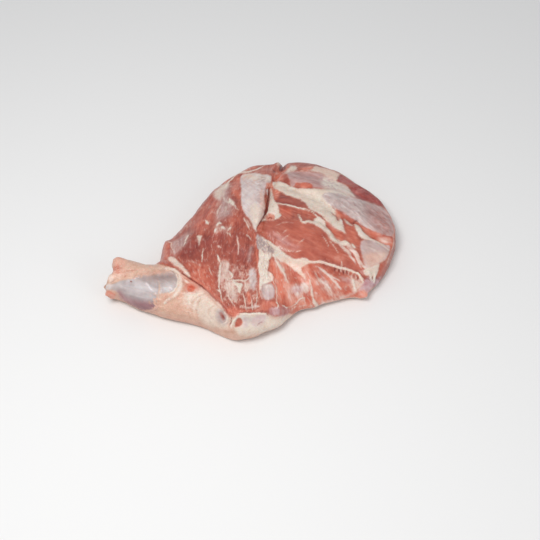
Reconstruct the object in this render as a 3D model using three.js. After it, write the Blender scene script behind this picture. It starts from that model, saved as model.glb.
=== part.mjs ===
// Raw lamb shoulder, whole, with its foreshank, lying with the rib side up.
// Millimetres, +Z up. +X runs from the shank to the blade end, +Y away from the elbow.
// The origin is the middle of the underside, which is flat where the meat rests.
//
// The body is built as a boat's hull is: ribs run from the front edge (elbow side)
// to the back edge, fanning out from the corner behind the shank, and a skin is
// drawn over them. Seams, bulges and the torn edges are then worked into that skin.

import * as THREE from 'three';
import { ImprovedNoise } from 'three/addons/math/ImprovedNoise.js';
import { mergeVertices } from 'three/addons/utils/BufferGeometryUtils.js';

// Mesh fineness: points over the top and under the bottom of each rib, how strongly
// rows crowd where a rib asks for it, and straight steps per point of a drawn line
const TOP_POINTS = 50;
const UNDER_POINTS = 16;
const CROWDING = 1.4;
const LINE_STEPS = 5;

// Ribs. front and back are where the rib ends in plan, bow is how far it bends towards
// -X at its middle, top is the height of the meat from the front end to the back end,
// round is how far in from each end the top edge curves over, lip is the height
// of the widest line of each edge, and rows is how many rows of faces follow the rib.
// closer says that those rows crowd towards the next rib or towards this one.
const ribs = [
  { name: 'shank tip', front: [-175, -71], back: [-175, -71], bow: 0,
    top: [42, 44, 45, 44, 42], round: [24, 24], lip: [24, 24], rows: 2 },
  { name: 'shank face', front: [-172, -80], back: [-170.5, -59], bow: 0,
    top: [43, 46, 47, 46, 43], round: [24, 22], lip: [24, 24], rows: 2 },
  { name: 'shank end', front: [-165.5, -81], back: [-167.5, -50], bow: 0,
    top: [44, 48, 49, 47, 44], round: [26, 22], lip: [24, 25], rows: 2 },
  { name: 'shank knob', front: [-156.5, -85], back: [-168, -36], bow: 0,
    top: [44, 49, 51, 49, 46], round: [28, 24], lip: [24, 26], rows: 3 },
  { name: 'shank middle', front: [-146, -90], back: [-145, -34.5], bow: 0,
    top: [45, 49, 51, 50, 46], round: [29, 26], lip: [24, 26], rows: 5 },
  { name: 'shank neck', front: [-122, -102], back: [-129, -39], bow: 0,
    top: [45, 50, 52, 51, 46], round: [30, 26], lip: [24, 26], rows: 5 },
  { name: 'shank root', front: [-92, -111], back: [-120, -36], bow: 0,
    top: [45, 50, 52, 50, 43], round: [31, 22], lip: [23, 22], rows: 5 },
  { name: 'elbow', front: [-54, -121.5], back: [-116, -32], bow: 0,
    top: [46, 51, 53, 49, 36], round: [30, 16], lip: [22, 15], rows: 6 },
  { name: 'elbow point', front: [-20, -138], back: [-113, -24], bow: 0,
    top: [46, 52, 54, 48, 29], round: [28, 14], lip: [21, 11], rows: 4 },
  { name: 'breast low', front: [-4, -138], back: [-106.5, 3], bow: 0,
    top: [46, 52, 53, 45, 22], round: [26, 13], lip: [20, 10], rows: 5 },
  { name: 'breast middle', front: [8, -135], back: [-80, 45], bow: 0,
    top: [44, 52, 55, 45, 23], round: [25, 14], lip: [19, 10], rows: 7 },
  { name: 'breast high', front: [19, -130], back: [-45, 99.5], bow: 4,
    top: [42, 53, 60, 49, 26], round: [23, 16], lip: [17, 11], rows: 6 },
  { name: 'blade ridge', front: [29, -124], back: [2, 134], bow: 14,
    top: [40, 56, 65, 53, 28], round: [22, 18], lip: [15, 12], rows: 7, closer: 'next' },
  { name: 'cleft', front: [38, -117], back: [43, 139.5], bow: 23,
    top: [37, 57, 68, 55, 28], round: [20, 17], lip: [13, 12], rows: 6, closer: 'here' },
  { name: 'neck side', front: [54, -99.5], back: [74, 139.5], bow: 20,
    top: [34, 58, 66, 54, 28], round: [19, 16], lip: [12, 12], rows: 5 },
  { name: 'oval middle', front: [80, -90], back: [107.5, 129], bow: 10,
    top: [30, 56, 60, 49, 27], round: [18, 15], lip: [11, 11], rows: 6 },
  { name: 'oval end', front: [110, -76.5], back: [142.5, 103], bow: 2,
    top: [27, 46, 49, 42, 25], round: [17, 14], lip: [10, 10], rows: 5 },
  { name: 'far panel', front: [137, -73], back: [167.5, 74.5], bow: 0,
    top: [24, 34, 37, 34, 24], round: [16, 13], lip: [9, 9], rows: 4 },
  { name: 'far rim', front: [159, -50], back: [181.5, 44.5], bow: 0,
    top: [22, 28, 30, 28, 22], round: [14, 13], lip: [9, 9], rows: 3 },
  { name: 'blade end', front: [172.5, -24], back: [182.5, 22.5], bow: 0,
    top: [21, 24, 25, 24, 21], round: [13, 13], lip: [9, 9], rows: 2 },
  { name: 'blade tip', front: [181, 0], back: [181, 0], bow: 0,
    top: [19, 19, 19, 19, 19], round: [12, 12], lip: [9, 9], rows: 0 },
];

// Under the lip the meat curves in to the flat underside over this distance
const UNDER_ROUND = 15;

// The torn edge of the breast sheet, lying over the shank and the elbow: its path, how
// thick it is, over what width it steps down, and how far off the lower level rises again
const SHEET_EDGE = [[-124, -24], [-108, -48], [-95, -60], [-85, -67], [-72, -79], [-63, -87],
  [-53, -96], [-44, -106], [-34, -117], [-24, -127], [-14, -129], [0, -125], [14, -122], [28, -117]];
const SHEET_THICKNESS = 5;
const SHEET_EDGE_WIDTH = 4;
const SHEET_SHADOW = 70;

// Furrows between the muscles: a path in plan, how deep and how wide to each side
const furrows = [
  { name: 'cleft', path: [[32, 88], [27, 66], [23, 42], [19, 18], [12, -10]], depth: 7, width: 4.5 },
  { name: 'notch valley', path: [[44, 141], [41, 124], [37, 106], [32, 90]], depth: 3, width: 3.5 },
  { name: 'sheet border', depth: 3, width: 5,
    path: [[-13, 97], [-11, 58], [-4, 20], [5, -10], [9, -36], [11, -66], [14, -104]] },
  { name: 'oval upper seam', path: [[30, 8], [54, 12], [76, 7], [97, -10], [114, -30], [130, -52]],
    depth: 3, width: 5 },
  { name: 'oval lower seam', path: [[13, -14], [30, -36], [58, -50], [96, -53], [134, -64]],
    depth: 5, width: 6 },
  { name: 'band upper seam', path: [[36, 104], [70, 92], [108, 84], [142, 62]], depth: 3, width: 6 },
  { name: 'band lower seam', depth: 5, width: 7,
    path: [[42, 62], [78, 44], [108, 22], [140, 10], [170, -12]] },
  { name: 'neck seam', path: [[34, 48], [58, 40], [84, 24]], depth: 3, width: 5 },
  { name: 'front furrow', path: [[44, -58], [62, -76], [66, -92]], depth: 4, width: 6 },
  { name: 'front furrow right', path: [[88, -56], [96, -72], [104, -84]], depth: 3, width: 6 },
  { name: 'shank root', path: [[-117, -36], [-110, -60], [-112, -84]], depth: 4, width: 7 },
];

// Swellings: middle in plan, half length and half width, turn in degrees, height
const swellings = [
  { name: 'oval muscle', at: [68, -21], size: [58, 27], turn: -19, height: 5 },
  { name: 'silverskin band', at: [112, 48], size: [66, 17], turn: -26, height: 5.5 },
  { name: 'pearly panel', at: [4, 52], size: [16, 44], turn: 4, height: 3 },
  { name: 'elbow swirl', at: [-48, -116], size: [17, 11], turn: -35, height: 4 },
  { name: 'elbow eye', at: [-14, -133], size: [10, 9], turn: 0, height: 3 },
  { name: 'bone knob', at: [-160, -40], size: [12, 9], turn: -25, height: 4 },
  { name: 'bone hollow', at: [-167, -55], size: [9, 6], turn: 0, height: -6 },
  { name: 'shank collar', at: [-97, -82], size: [7, 20], turn: 18, height: 3 },
  { name: 'gristle button', at: [23, -85], size: [10, 14], turn: 0, height: 3 },
  { name: 'ragged lump', at: [38, -110], size: [13, 9], turn: 0, height: 5 },
  { name: 'far panel', at: [152, -24], size: [20, 17], turn: -20, height: 3 },
  { name: 'breast belly', at: [-58, -8], size: [34, 46], turn: 35, height: 4 },
];

// Bumps and bites of the edge in plan: nearest edge point, reach outwards, half width
const edgeMarks = [
  { name: 'nub by the notch', at: [37.5, 139.5], reach: 4, width: 3 },
  { name: 'notch', at: [43, 139.5], reach: -6, width: 2.8 },
  { name: 'breast tag', at: [-109, 1], reach: 7, width: 5 },
  { name: 'corner tip', at: [137, -76], reach: 4, width: 6 },
  { name: 'bone knuckle', at: [-162, -34], reach: 4, width: 8 },
];

// Unevenness of cut meat: height of the waves and their length. The plane is the level
// of the noise field that they are cut at, so that no two of them agree.
const WAVES = { height: 1.1, length: 26, plane: 0.3 };
const RIPPLES = { height: 0.4, length: 13, plane: 4.7 };
const EDGE_WAVES = { reach: 1.6, length: 24, plane: 8.1 };
const LIP_WAVES = { height: 2.5, length: 24, plane: 2.2 };

const noise = new ImprovedNoise();

// Smooth random value at a point in plan, from about -1 to 1
function unevenness({ x, y }, { length, plane }) {
  return 2 * noise.noise(x / length, y / length, plane);
}

// Catmull-Rom value at place u along a list of numbers, one for each rib
function alongRibs(pick, u) {
  const last = ribs.length - 1;
  const i = Math.min(Math.floor(u), last - 1);
  const f = u - i;
  const at = (k) => pick(ribs[THREE.MathUtils.clamp(k, 0, last)]);
  const [a, b, c, d] = [at(i - 1), at(i), at(i + 1), at(i + 2)];
  const slopeB = (c - a) / 2;
  const slopeC = (d - b) / 2;
  return b * (1 + 2 * f) * (1 - f) ** 2 + slopeB * f * (1 - f) ** 2
    + c * f * f * (3 - 2 * f) + slopeC * f * f * (f - 1);
}

// The rib at place u, with all its measures run smoothly between the named ribs
function ribAt(u) {
  const pair = (key) => [0, 1].map((n) => alongRibs((rib) => rib[key][n], u));
  return {
    front: new THREE.Vector2(...pair('front')),
    back: new THREE.Vector2(...pair('back')),
    bow: alongRibs((rib) => rib.bow, u),
    top: [0, 1, 2, 3, 4].map((n) => new THREE.Vector2(n / 4, alongRibs((rib) => rib.top[n], u))),
    round: pair('round'),
    lip: pair('lip'),
  };
}

// Places of the rows of faces, closer together where the named ribs ask for more
function rowPlaces() {
  const places = [0];
  ribs.forEach((rib, i) => {
    for (let n = 1; n <= rib.rows; n += 1) {
      const f = n / rib.rows;
      if (rib.closer === 'next') places.push(i + 1 - (1 - f) ** CROWDING);
      else if (rib.closer === 'here') places.push(i + f ** CROWDING);
      else places.push(i + f);
    }
  });
  return places;
}

// Share of full height at a distance d inside an edge that rounds over the distance r
function quarterRound(d, r) {
  const inside = THREE.MathUtils.clamp(1 - d / r, 0, 1);
  return Math.sqrt(1 - inside * inside);
}

// Smooth line through points in plan, cut into short straight steps
function planLine(path) {
  const points = path.map((p) => new THREE.Vector2(...p));
  return new THREE.SplineCurve(points).getPoints(path.length * LINE_STEPS);
}

// Nearest distance from a point to a line in plan, with the side: left of travel is +
function distanceToLine(point, line) {
  let nearest = Infinity;
  let side = 1;
  for (let i = 1; i < line.length; i += 1) {
    const step = line[i].clone().sub(line[i - 1]);
    const to = point.clone().sub(line[i - 1]);
    const along = THREE.MathUtils.clamp(to.dot(step) / step.lengthSq(), 0, 1);
    const gap = to.clone().addScaledVector(step, -along).length();
    if (gap < nearest) {
      nearest = gap;
      side = Math.sign(step.cross(to)) || 1;
    }
  }
  return { distance: nearest, side };
}

// A soft hump that is 1 in the middle and dies away by about twice the width
const hump = (d, width) => Math.exp(-((d / width) ** 2));

const sheetEdge = planLine(SHEET_EDGE);
const furrowLines = furrows.map((furrow) => ({ ...furrow, line: planLine(furrow.path) }));

// Height to add to the smooth skin at a point in plan
function relief(point) {
  let z = 0;
  const edge = distanceToLine(point, sheetEdge);
  const outside = -edge.side * edge.distance;
  z -= SHEET_THICKNESS * THREE.MathUtils.smoothstep(outside, 0, SHEET_EDGE_WIDTH)
    * hump(Math.max(outside - SHEET_EDGE_WIDTH, 0), SHEET_SHADOW);
  for (const { line, depth, width } of furrowLines) {
    z -= depth * hump(distanceToLine(point, line).distance, width);
  }
  for (const { at, size, turn, height } of swellings) {
    const local = point.clone().sub(new THREE.Vector2(...at));
    local.rotateAround(new THREE.Vector2(), THREE.MathUtils.degToRad(-turn));
    z += height * hump(Math.hypot(local.x / size[0], local.y / size[1]), 1);
  }
  return z + WAVES.height * unevenness(point, WAVES) + RIPPLES.height * unevenness(point, RIPPLES);
}

// Moves an end of a rib in or out: a little all along, and more where a tag, a tip
// or the notch marks the edge
function markEdge(end, inward) {
  const moved = end.clone();
  moved.addScaledVector(inward, EDGE_WAVES.reach * unevenness(end, EDGE_WAVES));
  for (const { at, reach, width } of edgeMarks) {
    const near = hump(end.distanceTo(new THREE.Vector2(...at)), width);
    moved.addScaledVector(inward, -reach * near);
  }
  return moved;
}

// Point of the skin on the rib at u: t runs from the front to the back, top or underside
function skinPoint(rib, t, onTop) {
  const chord = rib.back.clone().sub(rib.front);
  const length = chord.length();
  const inward = length > 0 ? chord.clone().normalize() : new THREE.Vector2(0, 1);
  const atPole = length < 1e-6;
  const front = atPole ? rib.front.clone() : markEdge(rib.front, inward);
  const back = atPole ? rib.back.clone() : markEdge(rib.back, inward.clone().negate());
  const point = front.lerp(back, t);
  point.x -= rib.bow * 4 * t * (1 - t);

  const rise = atPole ? 0 : LIP_WAVES.height * unevenness(point, LIP_WAVES);
  const lip = THREE.MathUtils.lerp(rib.lip[0], rib.lip[1], t) + rise;
  const fromFront = t * length;
  const fromBack = (1 - t) * length;
  if (!onTop) {
    const full = quarterRound(fromFront, UNDER_ROUND) * quarterRound(fromBack, UNDER_ROUND);
    return new THREE.Vector3(point.x, point.y, lip * (1 - full));
  }
  const full = quarterRound(fromFront, rib.round[0]) * quarterRound(fromBack, rib.round[1]);
  const skin = new THREE.SplineCurve(rib.top).getPoint(t).y;
  return new THREE.Vector3(point.x, point.y, lip + (skin + relief(point) - lip) * full);
}

// Spacing along a rib, closer at both ends where the skin turns over
const CLOSER_AT_ENDS = 0.6;
function spread(f) {
  return THREE.MathUtils.lerp(f, (1 - Math.cos(Math.PI * f)) / 2, CLOSER_AT_ENDS);
}

// A sphere's rings, laid from the shank to the blade end, become the ribs
function meatGeometry() {
  const rows = rowPlaces();
  const around = TOP_POINTS + UNDER_POINTS;
  const sphere = new THREE.SphereGeometry(1, around, rows.length - 1);
  const position = sphere.getAttribute('position');
  rows.forEach((u, row) => {
    const rib = ribAt(u);
    for (let n = 0; n <= around; n += 1) {
      const k = n % around;
      const onTop = k <= TOP_POINTS;
      const t = onTop ? spread(k / TOP_POINTS) : 1 - spread((k - TOP_POINTS) / UNDER_POINTS);
      const p = skinPoint(rib, t, onTop);
      position.setXYZ(row * (around + 1) + n, p.x, p.y, p.z);
    }
  });
  sphere.deleteAttribute('normal');
  sphere.deleteAttribute('uv');
  const merged = mergeVertices(sphere, 1e-4);
  merged.computeBoundingBox();
  const middle = merged.boundingBox.getCenter(new THREE.Vector3());
  merged.translate(-middle.x, -middle.y, -merged.boundingBox.min.z);
  merged.computeVertexNormals();
  return merged;
}

const rawLamb = new THREE.MeshStandardMaterial({ color: 0xb96c5d, roughness: 0.5, metalness: 0 });

const lambShoulder = new THREE.Mesh(meatGeometry(), rawLamb);
lambShoulder.name = 'lamb_shoulder';

const group = new THREE.Group();
group.add(lambShoulder);

export default group;
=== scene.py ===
# %% [markdown]
# # A raw lamb shoulder, dressed in Blender
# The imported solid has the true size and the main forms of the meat. This script lays a
# finer skin over it, works seams, fat and fibres into that skin, and gives it the look
# of wet lean meat, hard cream fat and pearly silverskin. Everything is in metres.

# %% Load the fixed frame
import bpy
import bmesh
import math
import numpy as np
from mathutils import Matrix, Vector, noise


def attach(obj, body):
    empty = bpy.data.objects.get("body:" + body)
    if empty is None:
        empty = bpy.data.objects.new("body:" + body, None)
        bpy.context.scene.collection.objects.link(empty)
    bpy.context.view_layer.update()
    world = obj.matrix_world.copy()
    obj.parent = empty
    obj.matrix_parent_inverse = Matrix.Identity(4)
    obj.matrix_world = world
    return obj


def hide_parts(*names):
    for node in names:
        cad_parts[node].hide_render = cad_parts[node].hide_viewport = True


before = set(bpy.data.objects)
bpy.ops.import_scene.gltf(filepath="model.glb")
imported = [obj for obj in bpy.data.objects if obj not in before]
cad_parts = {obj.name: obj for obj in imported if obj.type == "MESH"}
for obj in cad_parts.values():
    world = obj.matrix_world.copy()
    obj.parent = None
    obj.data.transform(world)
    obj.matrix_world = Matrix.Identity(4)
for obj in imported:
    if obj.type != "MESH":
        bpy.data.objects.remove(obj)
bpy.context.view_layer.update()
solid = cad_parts["lamb_shoulder"]
MM = 0.001

# %% [markdown]
# ## The camera
# The photograph looks down on the meat from its elbow side at about 52 degrees. Shapes
# are placed by what it shows, so the same few numbers make Blender's camera and the
# function that says where a point of the meat falls in the picture.

# %% Camera
PICTURE = 540                # width and height of the picture in pixels
FOCAL_PX = 1100              # focal length in pixels of that picture
ELEVATION = math.radians(52)
CAMERA_AT = Vector((19.4, -876.0, 1087.5)) * MM
SENSOR = 36.0

camera_data = bpy.data.cameras.new("camera")
camera_data.sensor_width = SENSOR
camera_data.lens = SENSOR * FOCAL_PX / PICTURE
camera = bpy.data.objects.new("camera", camera_data)
camera.location = CAMERA_AT
camera.rotation_euler = (math.pi / 2 - ELEVATION, 0, 0)
bpy.context.scene.collection.objects.link(camera)
bpy.context.scene.camera = camera

RIGHT = np.array([1.0, 0.0, 0.0])
AHEAD = np.array([0.0, math.cos(ELEVATION), -math.sin(ELEVATION)])
UP = np.array([0.0, math.sin(ELEVATION), math.cos(ELEVATION)])


def in_picture(places):
    """Pixel place (u to the right, v down) of places given in metres."""
    from_camera = np.asarray(places) - np.array(CAMERA_AT)
    depth = from_camera @ AHEAD
    u = PICTURE / 2 + FOCAL_PX * (from_camera @ RIGHT) / depth
    v = PICTURE / 2 - FOCAL_PX * (from_camera @ UP) / depth
    return np.stack([u, v], axis=1)


CAMERA_TO_MEAT = 1.361       # metres from the camera to the middle of the meat
PX_PER_MM = FOCAL_PX * MM / CAMERA_TO_MEAT
print(f"one millimetre is about {PX_PER_MM:.2f} pixels on the meat")

# %% [markdown]
# ## Floor and light
# A plain pale floor and a soft lamp overhead, a little to the left and on the camera's
# side, with a broad, weaker one from the front right. The sky is a pale grey, so that
# shadows stay soft. Area lamps are used because raw meat shows soft glints, not points.

# %% Helpers for materials
def srgb(code):
    """Linear colour of an sRGB hex code."""
    parts = [int(code[i:i + 2], 16) / 255 for i in (1, 3, 5)]
    return [c / 12.92 if c <= 0.04045 else ((c + 0.055) / 1.055) ** 2.4 for c in parts] + [1.0]


def add(tree, kind, inputs=None, stops=None, **settings):
    """Adds a node with its settings; inputs are values or links, stops are a ramp's colours."""
    made = tree.nodes.new(kind)
    for key, value in settings.items():
        setattr(made, key, value)
    for key, value in (inputs or {}).items():
        if isinstance(value, bpy.types.NodeSocket):
            tree.links.new(value, made.inputs[key])
        else:
            made.inputs[key].default_value = value
    for i, (place, code) in enumerate(stops or []):
        stop = made.color_ramp.elements[i] if i < 2 else made.color_ramp.elements.new(place)
        stop.position = place
        stop.color = srgb(code)
    return made


def new_material(name):
    material = bpy.data.materials.new(name)
    material.use_nodes = True
    material.node_tree.nodes.clear()
    return material, material.node_tree


def object_from(name, mesh):
    made = bpy.data.objects.new(name, mesh)
    bpy.context.scene.collection.objects.link(made)
    return made


# %% Floor
floor_material, tree = new_material("pale_matt_paint")
mottle = add(tree, "ShaderNodeTexNoise", {"Scale": 3.0})
tint = add(tree, "ShaderNodeMix", {0: mottle.outputs["Fac"], 6: srgb("#e9e8e6"), 7: srgb("#efeeec")},
           data_type="RGBA")
paint = add(tree, "ShaderNodeBsdfPrincipled", {"Base Color": tint.outputs[2], "Roughness": 0.9})
add(tree, "ShaderNodeOutputMaterial", {"Surface": paint.outputs[0]})

bm = bmesh.new()
bmesh.ops.create_grid(bm, x_segments=1, y_segments=1, size=4.0)
floor_mesh = bpy.data.meshes.new("floor")
bm.to_mesh(floor_mesh)
bm.free()
floor_mesh.materials.append(floor_material)
floor = object_from("floor", floor_mesh)
print("floor:", [round(side, 1) for side in floor.dimensions[:2]], "m")

# %% Lamps and sky
def lamp(name, place, aim, size, watts):
    data = bpy.data.lights.new(name, "AREA")
    data.size = size
    data.energy = watts
    made = bpy.data.objects.new(name, data)
    made.location = place
    made.rotation_euler = (Vector(place) - Vector(aim)).to_track_quat("Z", "Y").to_euler()
    bpy.context.scene.collection.objects.link(made)
    print(f"{name}: {watts} W, {size} m wide, {(Vector(place) - Vector(aim)).length:.2f} m off")


lamp("softbox", (-0.3, -0.45, 1.2), (0, 0, 0.03), 0.5, 9.6)
lamp("fill", (0.9, -0.9, 0.7), (0, 0, 0.03), 0.8, 2.0)

world = bpy.data.worlds.new("studio")
bpy.context.scene.world = world
world.use_nodes = True
sky = world.node_tree.nodes["Background"]
sky.inputs["Color"].default_value = srgb("#f4f6fa")
sky.inputs["Strength"].default_value = 0.55
bpy.context.scene.view_settings.view_transform = "Standard"

# %% [markdown]
# ## A finer skin
# The solid's triangles are merged, paired back into four-sided faces along the fibres,
# and rounded twice by subdivision. That gives faces of little more than a millimetre,
# enough to sculpt seams and fat, and stays under 200,000 triangles.

# %% Subdivided copy of the solid
bm = bmesh.new()
bm.from_mesh(solid.data)
bmesh.ops.remove_doubles(bm, verts=bm.verts, dist=0.01 * MM)
bmesh.ops.join_triangles(bm, faces=bm.faces, angle_face_threshold=math.radians(50),
                         angle_shape_threshold=math.radians(60))
cage_mesh = bpy.data.meshes.new("cage")
bm.to_mesh(cage_mesh)
quads = sum(len(face.verts) == 4 for face in bm.faces)
print(f"cage: {len(bm.faces)} faces, {quads} of them four-sided")
bm.free()

cage = object_from("cage", cage_mesh)
rounding = cage.modifiers.new("rounding", "SUBSURF")
rounding.levels = 2
rounding.render_levels = 2


def rounded():
    """The cage's mesh after the rounding; its first points are the cage's own, moved."""
    return bpy.data.meshes.new_from_object(cage.evaluated_get(bpy.context.evaluated_depsgraph_get()))


# %% Letting the cage out, because rounding draws it in
LET_OUT = 0.8                # share of the shrinkage that is given back
first_try = rounded()
shrunk = [point.co - first_try.vertices[i].co for i, point in enumerate(cage_mesh.vertices)]
for point, gap in zip(cage_mesh.vertices, shrunk):
    point.co += LET_OUT * gap
bpy.data.meshes.remove(first_try)
print("rounding drew the cage in by up to", round(max(gap.length for gap in shrunk) / MM, 2), "mm")
skin_mesh = rounded()
bpy.data.objects.remove(cage)
skin_mesh.name = "lamb_meat"
meat = object_from("lamb_meat", skin_mesh)
skin_mesh.shade_smooth()
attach(meat, "root")
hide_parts("lamb_shoulder")
print("skin:", len(skin_mesh.vertices), "points,", sum(len(p.vertices) - 2 for p in skin_mesh.polygons),
      "triangles")

# %% [markdown]
# ## Reading the photograph
# Every shape below is drawn by a few points in the picture's pixels, and each point of
# the skin knows where it falls in that picture. What faces away from the camera gets
# no part of it: the `seen` share fades it out.

# %% Places of the skin's points
count = len(skin_mesh.vertices)
flat = np.empty(count * 3)
skin_mesh.vertices.foreach_get("co", flat)
points = flat.reshape(-1, 3).copy()
skin_mesh.vertices.foreach_get("normal", flat)
normals = flat.reshape(-1, 3).copy()
toward_camera = np.array(CAMERA_AT) - points
toward_camera /= np.linalg.norm(toward_camera, axis=1, keepdims=True)
facing = np.einsum("ij,ij->i", normals, toward_camera)


def ease(x, low, high):
    """0 below low, 1 above high, smooth between."""
    t = np.clip((x - low) / (high - low), 0, 1)
    return t * t * (3 - 2 * t)


def wander(size, seed, octaves=2):
    """Smooth random field, about -1 to 1, with lumps of that size in mm."""
    shift = Vector((seed * 7.31, seed * 3.17, seed * 5.77))
    scale = 1 / (size * MM)
    return np.array([noise.fractal(Vector(p) * scale + shift, 1.0, 2.0, octaves) for p in points])


seen = ease(facing, -0.02, 0.2)
print(f"the camera sees {100 * float((seen > 0.5).mean()):.0f}% of the skin's points")
WOBBLE = ((5, 0.55), (2, 0.3))       # lump size in mm and reach in pixels of the ragged outlines
pixels = in_picture(points)
for i, (size, reach) in enumerate(WOBBLE):
    pixels += reach * np.stack([wander(size, 2 * i + 1), wander(size, 2 * i + 2)], axis=1)

# %% Shapes drawn on the picture
def drawn(line, closed=False, steps=4):
    """A Catmull-Rom curve through given points."""
    p = np.array(line, float)
    before, after = (p[-1:], p[:2]) if closed else (2 * p[:1] - p[1:2], 2 * p[-1:] - p[-2:-1])
    q = np.vstack([before, p, after])
    t = (np.arange(steps) / steps)[:, None]
    out = []
    for a, b, c, d in zip(q, q[1:], q[2:], q[3:]):
        out.append(0.5 * (2 * b + (c - a) * t + (2 * a - 5 * b + 4 * c - d) * t ** 2
                          + (3 * b - a - 3 * c + d) * t ** 3))
    if not closed:
        out.append(p[-1:])
    return np.vstack(out)


def distance_to(line, reach, closed=False):
    """Distance in mm from each skin point to a drawn line, and the place along it, 0 to 1.

    Points further off than reach get the reach itself."""
    reach_px = reach * PX_PER_MM
    near = np.where(((pixels > line.min(0) - reach_px) & (pixels < line.max(0) + reach_px)).all(1))[0]
    best = np.full(len(near), reach_px)
    along = np.zeros(len(near))
    ends = np.roll(line, -1, axis=0) if closed else line[1:]
    starts = line if closed else line[:-1]
    for i, (a, b) in enumerate(zip(starts, ends)):
        step = b - a
        to = pixels[near] - a
        t = np.clip(to @ step / max(step @ step, 1e-9), 0, 1)
        gap = np.hypot(*(to - t[:, None] * step).T)
        closer = gap < best
        best[closer] = gap[closer]
        along[closer] = (i + t[closer]) / len(starts)
    distance = np.full(count, float(reach))
    place = np.zeros(count)
    distance[near] = best / PX_PER_MM
    place[near] = along
    return distance, place


def inside(line):
    """Which skin points fall inside a closed drawn line."""
    near = np.where(((pixels > line.min(0)) & (pixels < line.max(0))).all(1))[0]
    u, v = pixels[near].T
    odd = np.zeros(len(near), bool)
    for (x1, y1), (x2, y2) in zip(line, np.roll(line, -1, axis=0)):
        crosses = (y1 > v) != (y2 > v)
        odd ^= crosses & (u < (x2 - x1) * (v - y1) / (y2 - y1 if y2 != y1 else 1e-9) + x1)
    result = np.zeros(count, bool)
    result[near] = odd
    return result


SOFTER = 1.35                # tissue edges blend over a little more than they are drawn
THINNEST = 1.5               # mm, the thinnest line that the skin's points can carry


def area(outline, soft=1.0):
    """1 inside a closed outline, 0 outside, 0.5 on it, over soft mm to each side."""
    soft *= SOFTER
    closed = drawn(outline, closed=True)
    distance, _ = distance_to(closed, soft * 1.01, closed=True)
    signed = np.where(inside(closed), distance, -distance)
    return np.clip(0.5 + signed / (2 * soft), 0, 1) * seen


def strand(line, width, soft=0.8, taper=0.5):
    """1 on a drawn line of that width in mm, 0 away from it; taper thins its ends."""
    width = max(width, THINNEST)
    distance, place = distance_to(drawn(line), width / 2 + soft * 1.01)
    half = width / 2 * (1 - taper * np.abs(2 * place - 1) ** 2)
    return np.clip(0.5 + (half - distance) / (2 * soft), 0, 1) * seen


# %% [markdown]
# ## Tissues
# The skin holds a share of each tissue at every point: hard fat, the softer peach fat of
# the shank, silverskin, thin veil, blood and plum-coloured flesh; what is left is lean.
# The blood share is also laid as painted shade in holes, slits, the cleft and under overhanging edges.
# A new patch pushes the ones under it aside. Brightness, warmth, height and how fibrous
# the tissue is go with it; brightness also carries the painted light and shade.

# %% Laying one tissue over another
TISSUES = ("fat", "peach", "silver", "veil", "blood_and_shade", "plum")
FIBROUS = {"lean": 0.8, "fat": 0.3, "peach": 0.1, "silver": 0.5, "veil": 0.9, "blood_and_shade": 0.4, "plum": 0.5}
share = {name: np.zeros(count) for name in TISSUES}
fibre = np.ones(count)
bright = 0.22 * wander(24, 11) + 0.12 * wander(9, 12)
warm = 0.3 * wander(30, 13)
relief = np.zeros(count)


def lay(tissue, where, cover=1.0, height=0.0, light=None, warmth=None):
    """Lays a tissue where the mask says: cover is how dense it is, height is in mm."""
    over = where * cover
    for name in TISSUES:
        share[name] *= 1 - over
    if tissue in share:
        share[tissue] += over
    fibre[:] += (FIBROUS[tissue] - fibre) * over
    if light is not None:
        bright[:] += (light - bright) * over
    if warmth is not None:
        warm[:] += (warmth - warm) * over
    relief[:] += height * where


def lay_all(title, rows):
    """Rows of name, tissue, cover, soft mm, height mm, light, warmth, width mm or None, points."""
    for name, tissue, cover, soft, height, light, warmth, width, line in rows:
        mask = area(line, soft) if width is None else strand(line, width, soft)
        if mask.max() < 0.3:
            print("nothing of the skin lies under", name)
        lay(tissue, mask, cover, height, light, warmth)
    print(f"{title}: {len(rows)} patches and strands laid")


def shade(outline, soft, light=0.0, warmth=0.0):
    """Makes an area lighter or darker, warmer or bluer, and leaves its tissue alone."""
    mask = area(outline, soft)
    bright[:] += light * mask
    warm[:] += warmth * mask


def dapple(outline, tissue, size, seed, cover, height=0.0, light=None, warmth=None):
    """Lays a tissue in irregular spots of that size in mm inside an outline."""
    lay(tissue, area(outline, 2.5) * ease(wander(size, seed), 0.0, 0.4), cover, height, light, warmth)


def comb(outline, soft, strength):
    """Sets how strongly the fibres show in an area."""
    fibre[:] += (strength - fibre) * area(outline, soft)


# %% [markdown]
# ## Sides and underside
# The photograph doesn't show them. The outside of a shoulder is covered by a thin fell
# over cream fat, so the underside gets that, thinner in places, and the cut sides show
# layers of lean between thin lines of fat; the hidden faces at the front of the shank and behind it get
# peach fat.

# %% Fell below, layered lean at the sides
down = ease(-normals[:, 2], 0.02, 0.5)
hidden = 1 - seen
fell_gaps = ease(wander(26, 21, 3), -0.25, 0.35)
lay("peach", down, 0.55 + 0.4 * fell_gaps, 0.0, 0.15, 0.25)
lay("veil", down * (1 - fell_gaps), 0.6, -0.3)
layers = ease(np.sin(points[:, 2] / MM / 6.5 + 1.6 * wander(40, 22)), 0.55, 0.95)
lay("fat", layers * hidden * (1 - down), 0.45, 0.4, 0.0, 0.2)
shank_side = ease(-(points[:, 0] / MM + 25) - 0.9 * (points[:, 1] / MM + 118), -6, 8)
front_side = ease(-(points[:, 1] / MM + 62), 0, 10) * shank_side
behind_shank = ease(-(points[:, 0] / MM + 121), 0, 6)
lay("peach", np.maximum(front_side, behind_shank) * hidden, 0.9, 0.0, 0.1, 0.15)
print(f"{100 * float((down > 0.5).mean()):.0f}% of the points face down and are laid with fell and fat")

# %% [markdown]
# ## Shank and elbow
# Peach-coloured fat wraps the shank. It is open over the bone, where a bluish, shining
# skin shows, plum-coloured below. The sawn end has torn nubs of fat and flesh. Over the
# elbow the fat is creamier, with a swirl, a dimple and an eye of red flesh.

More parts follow.
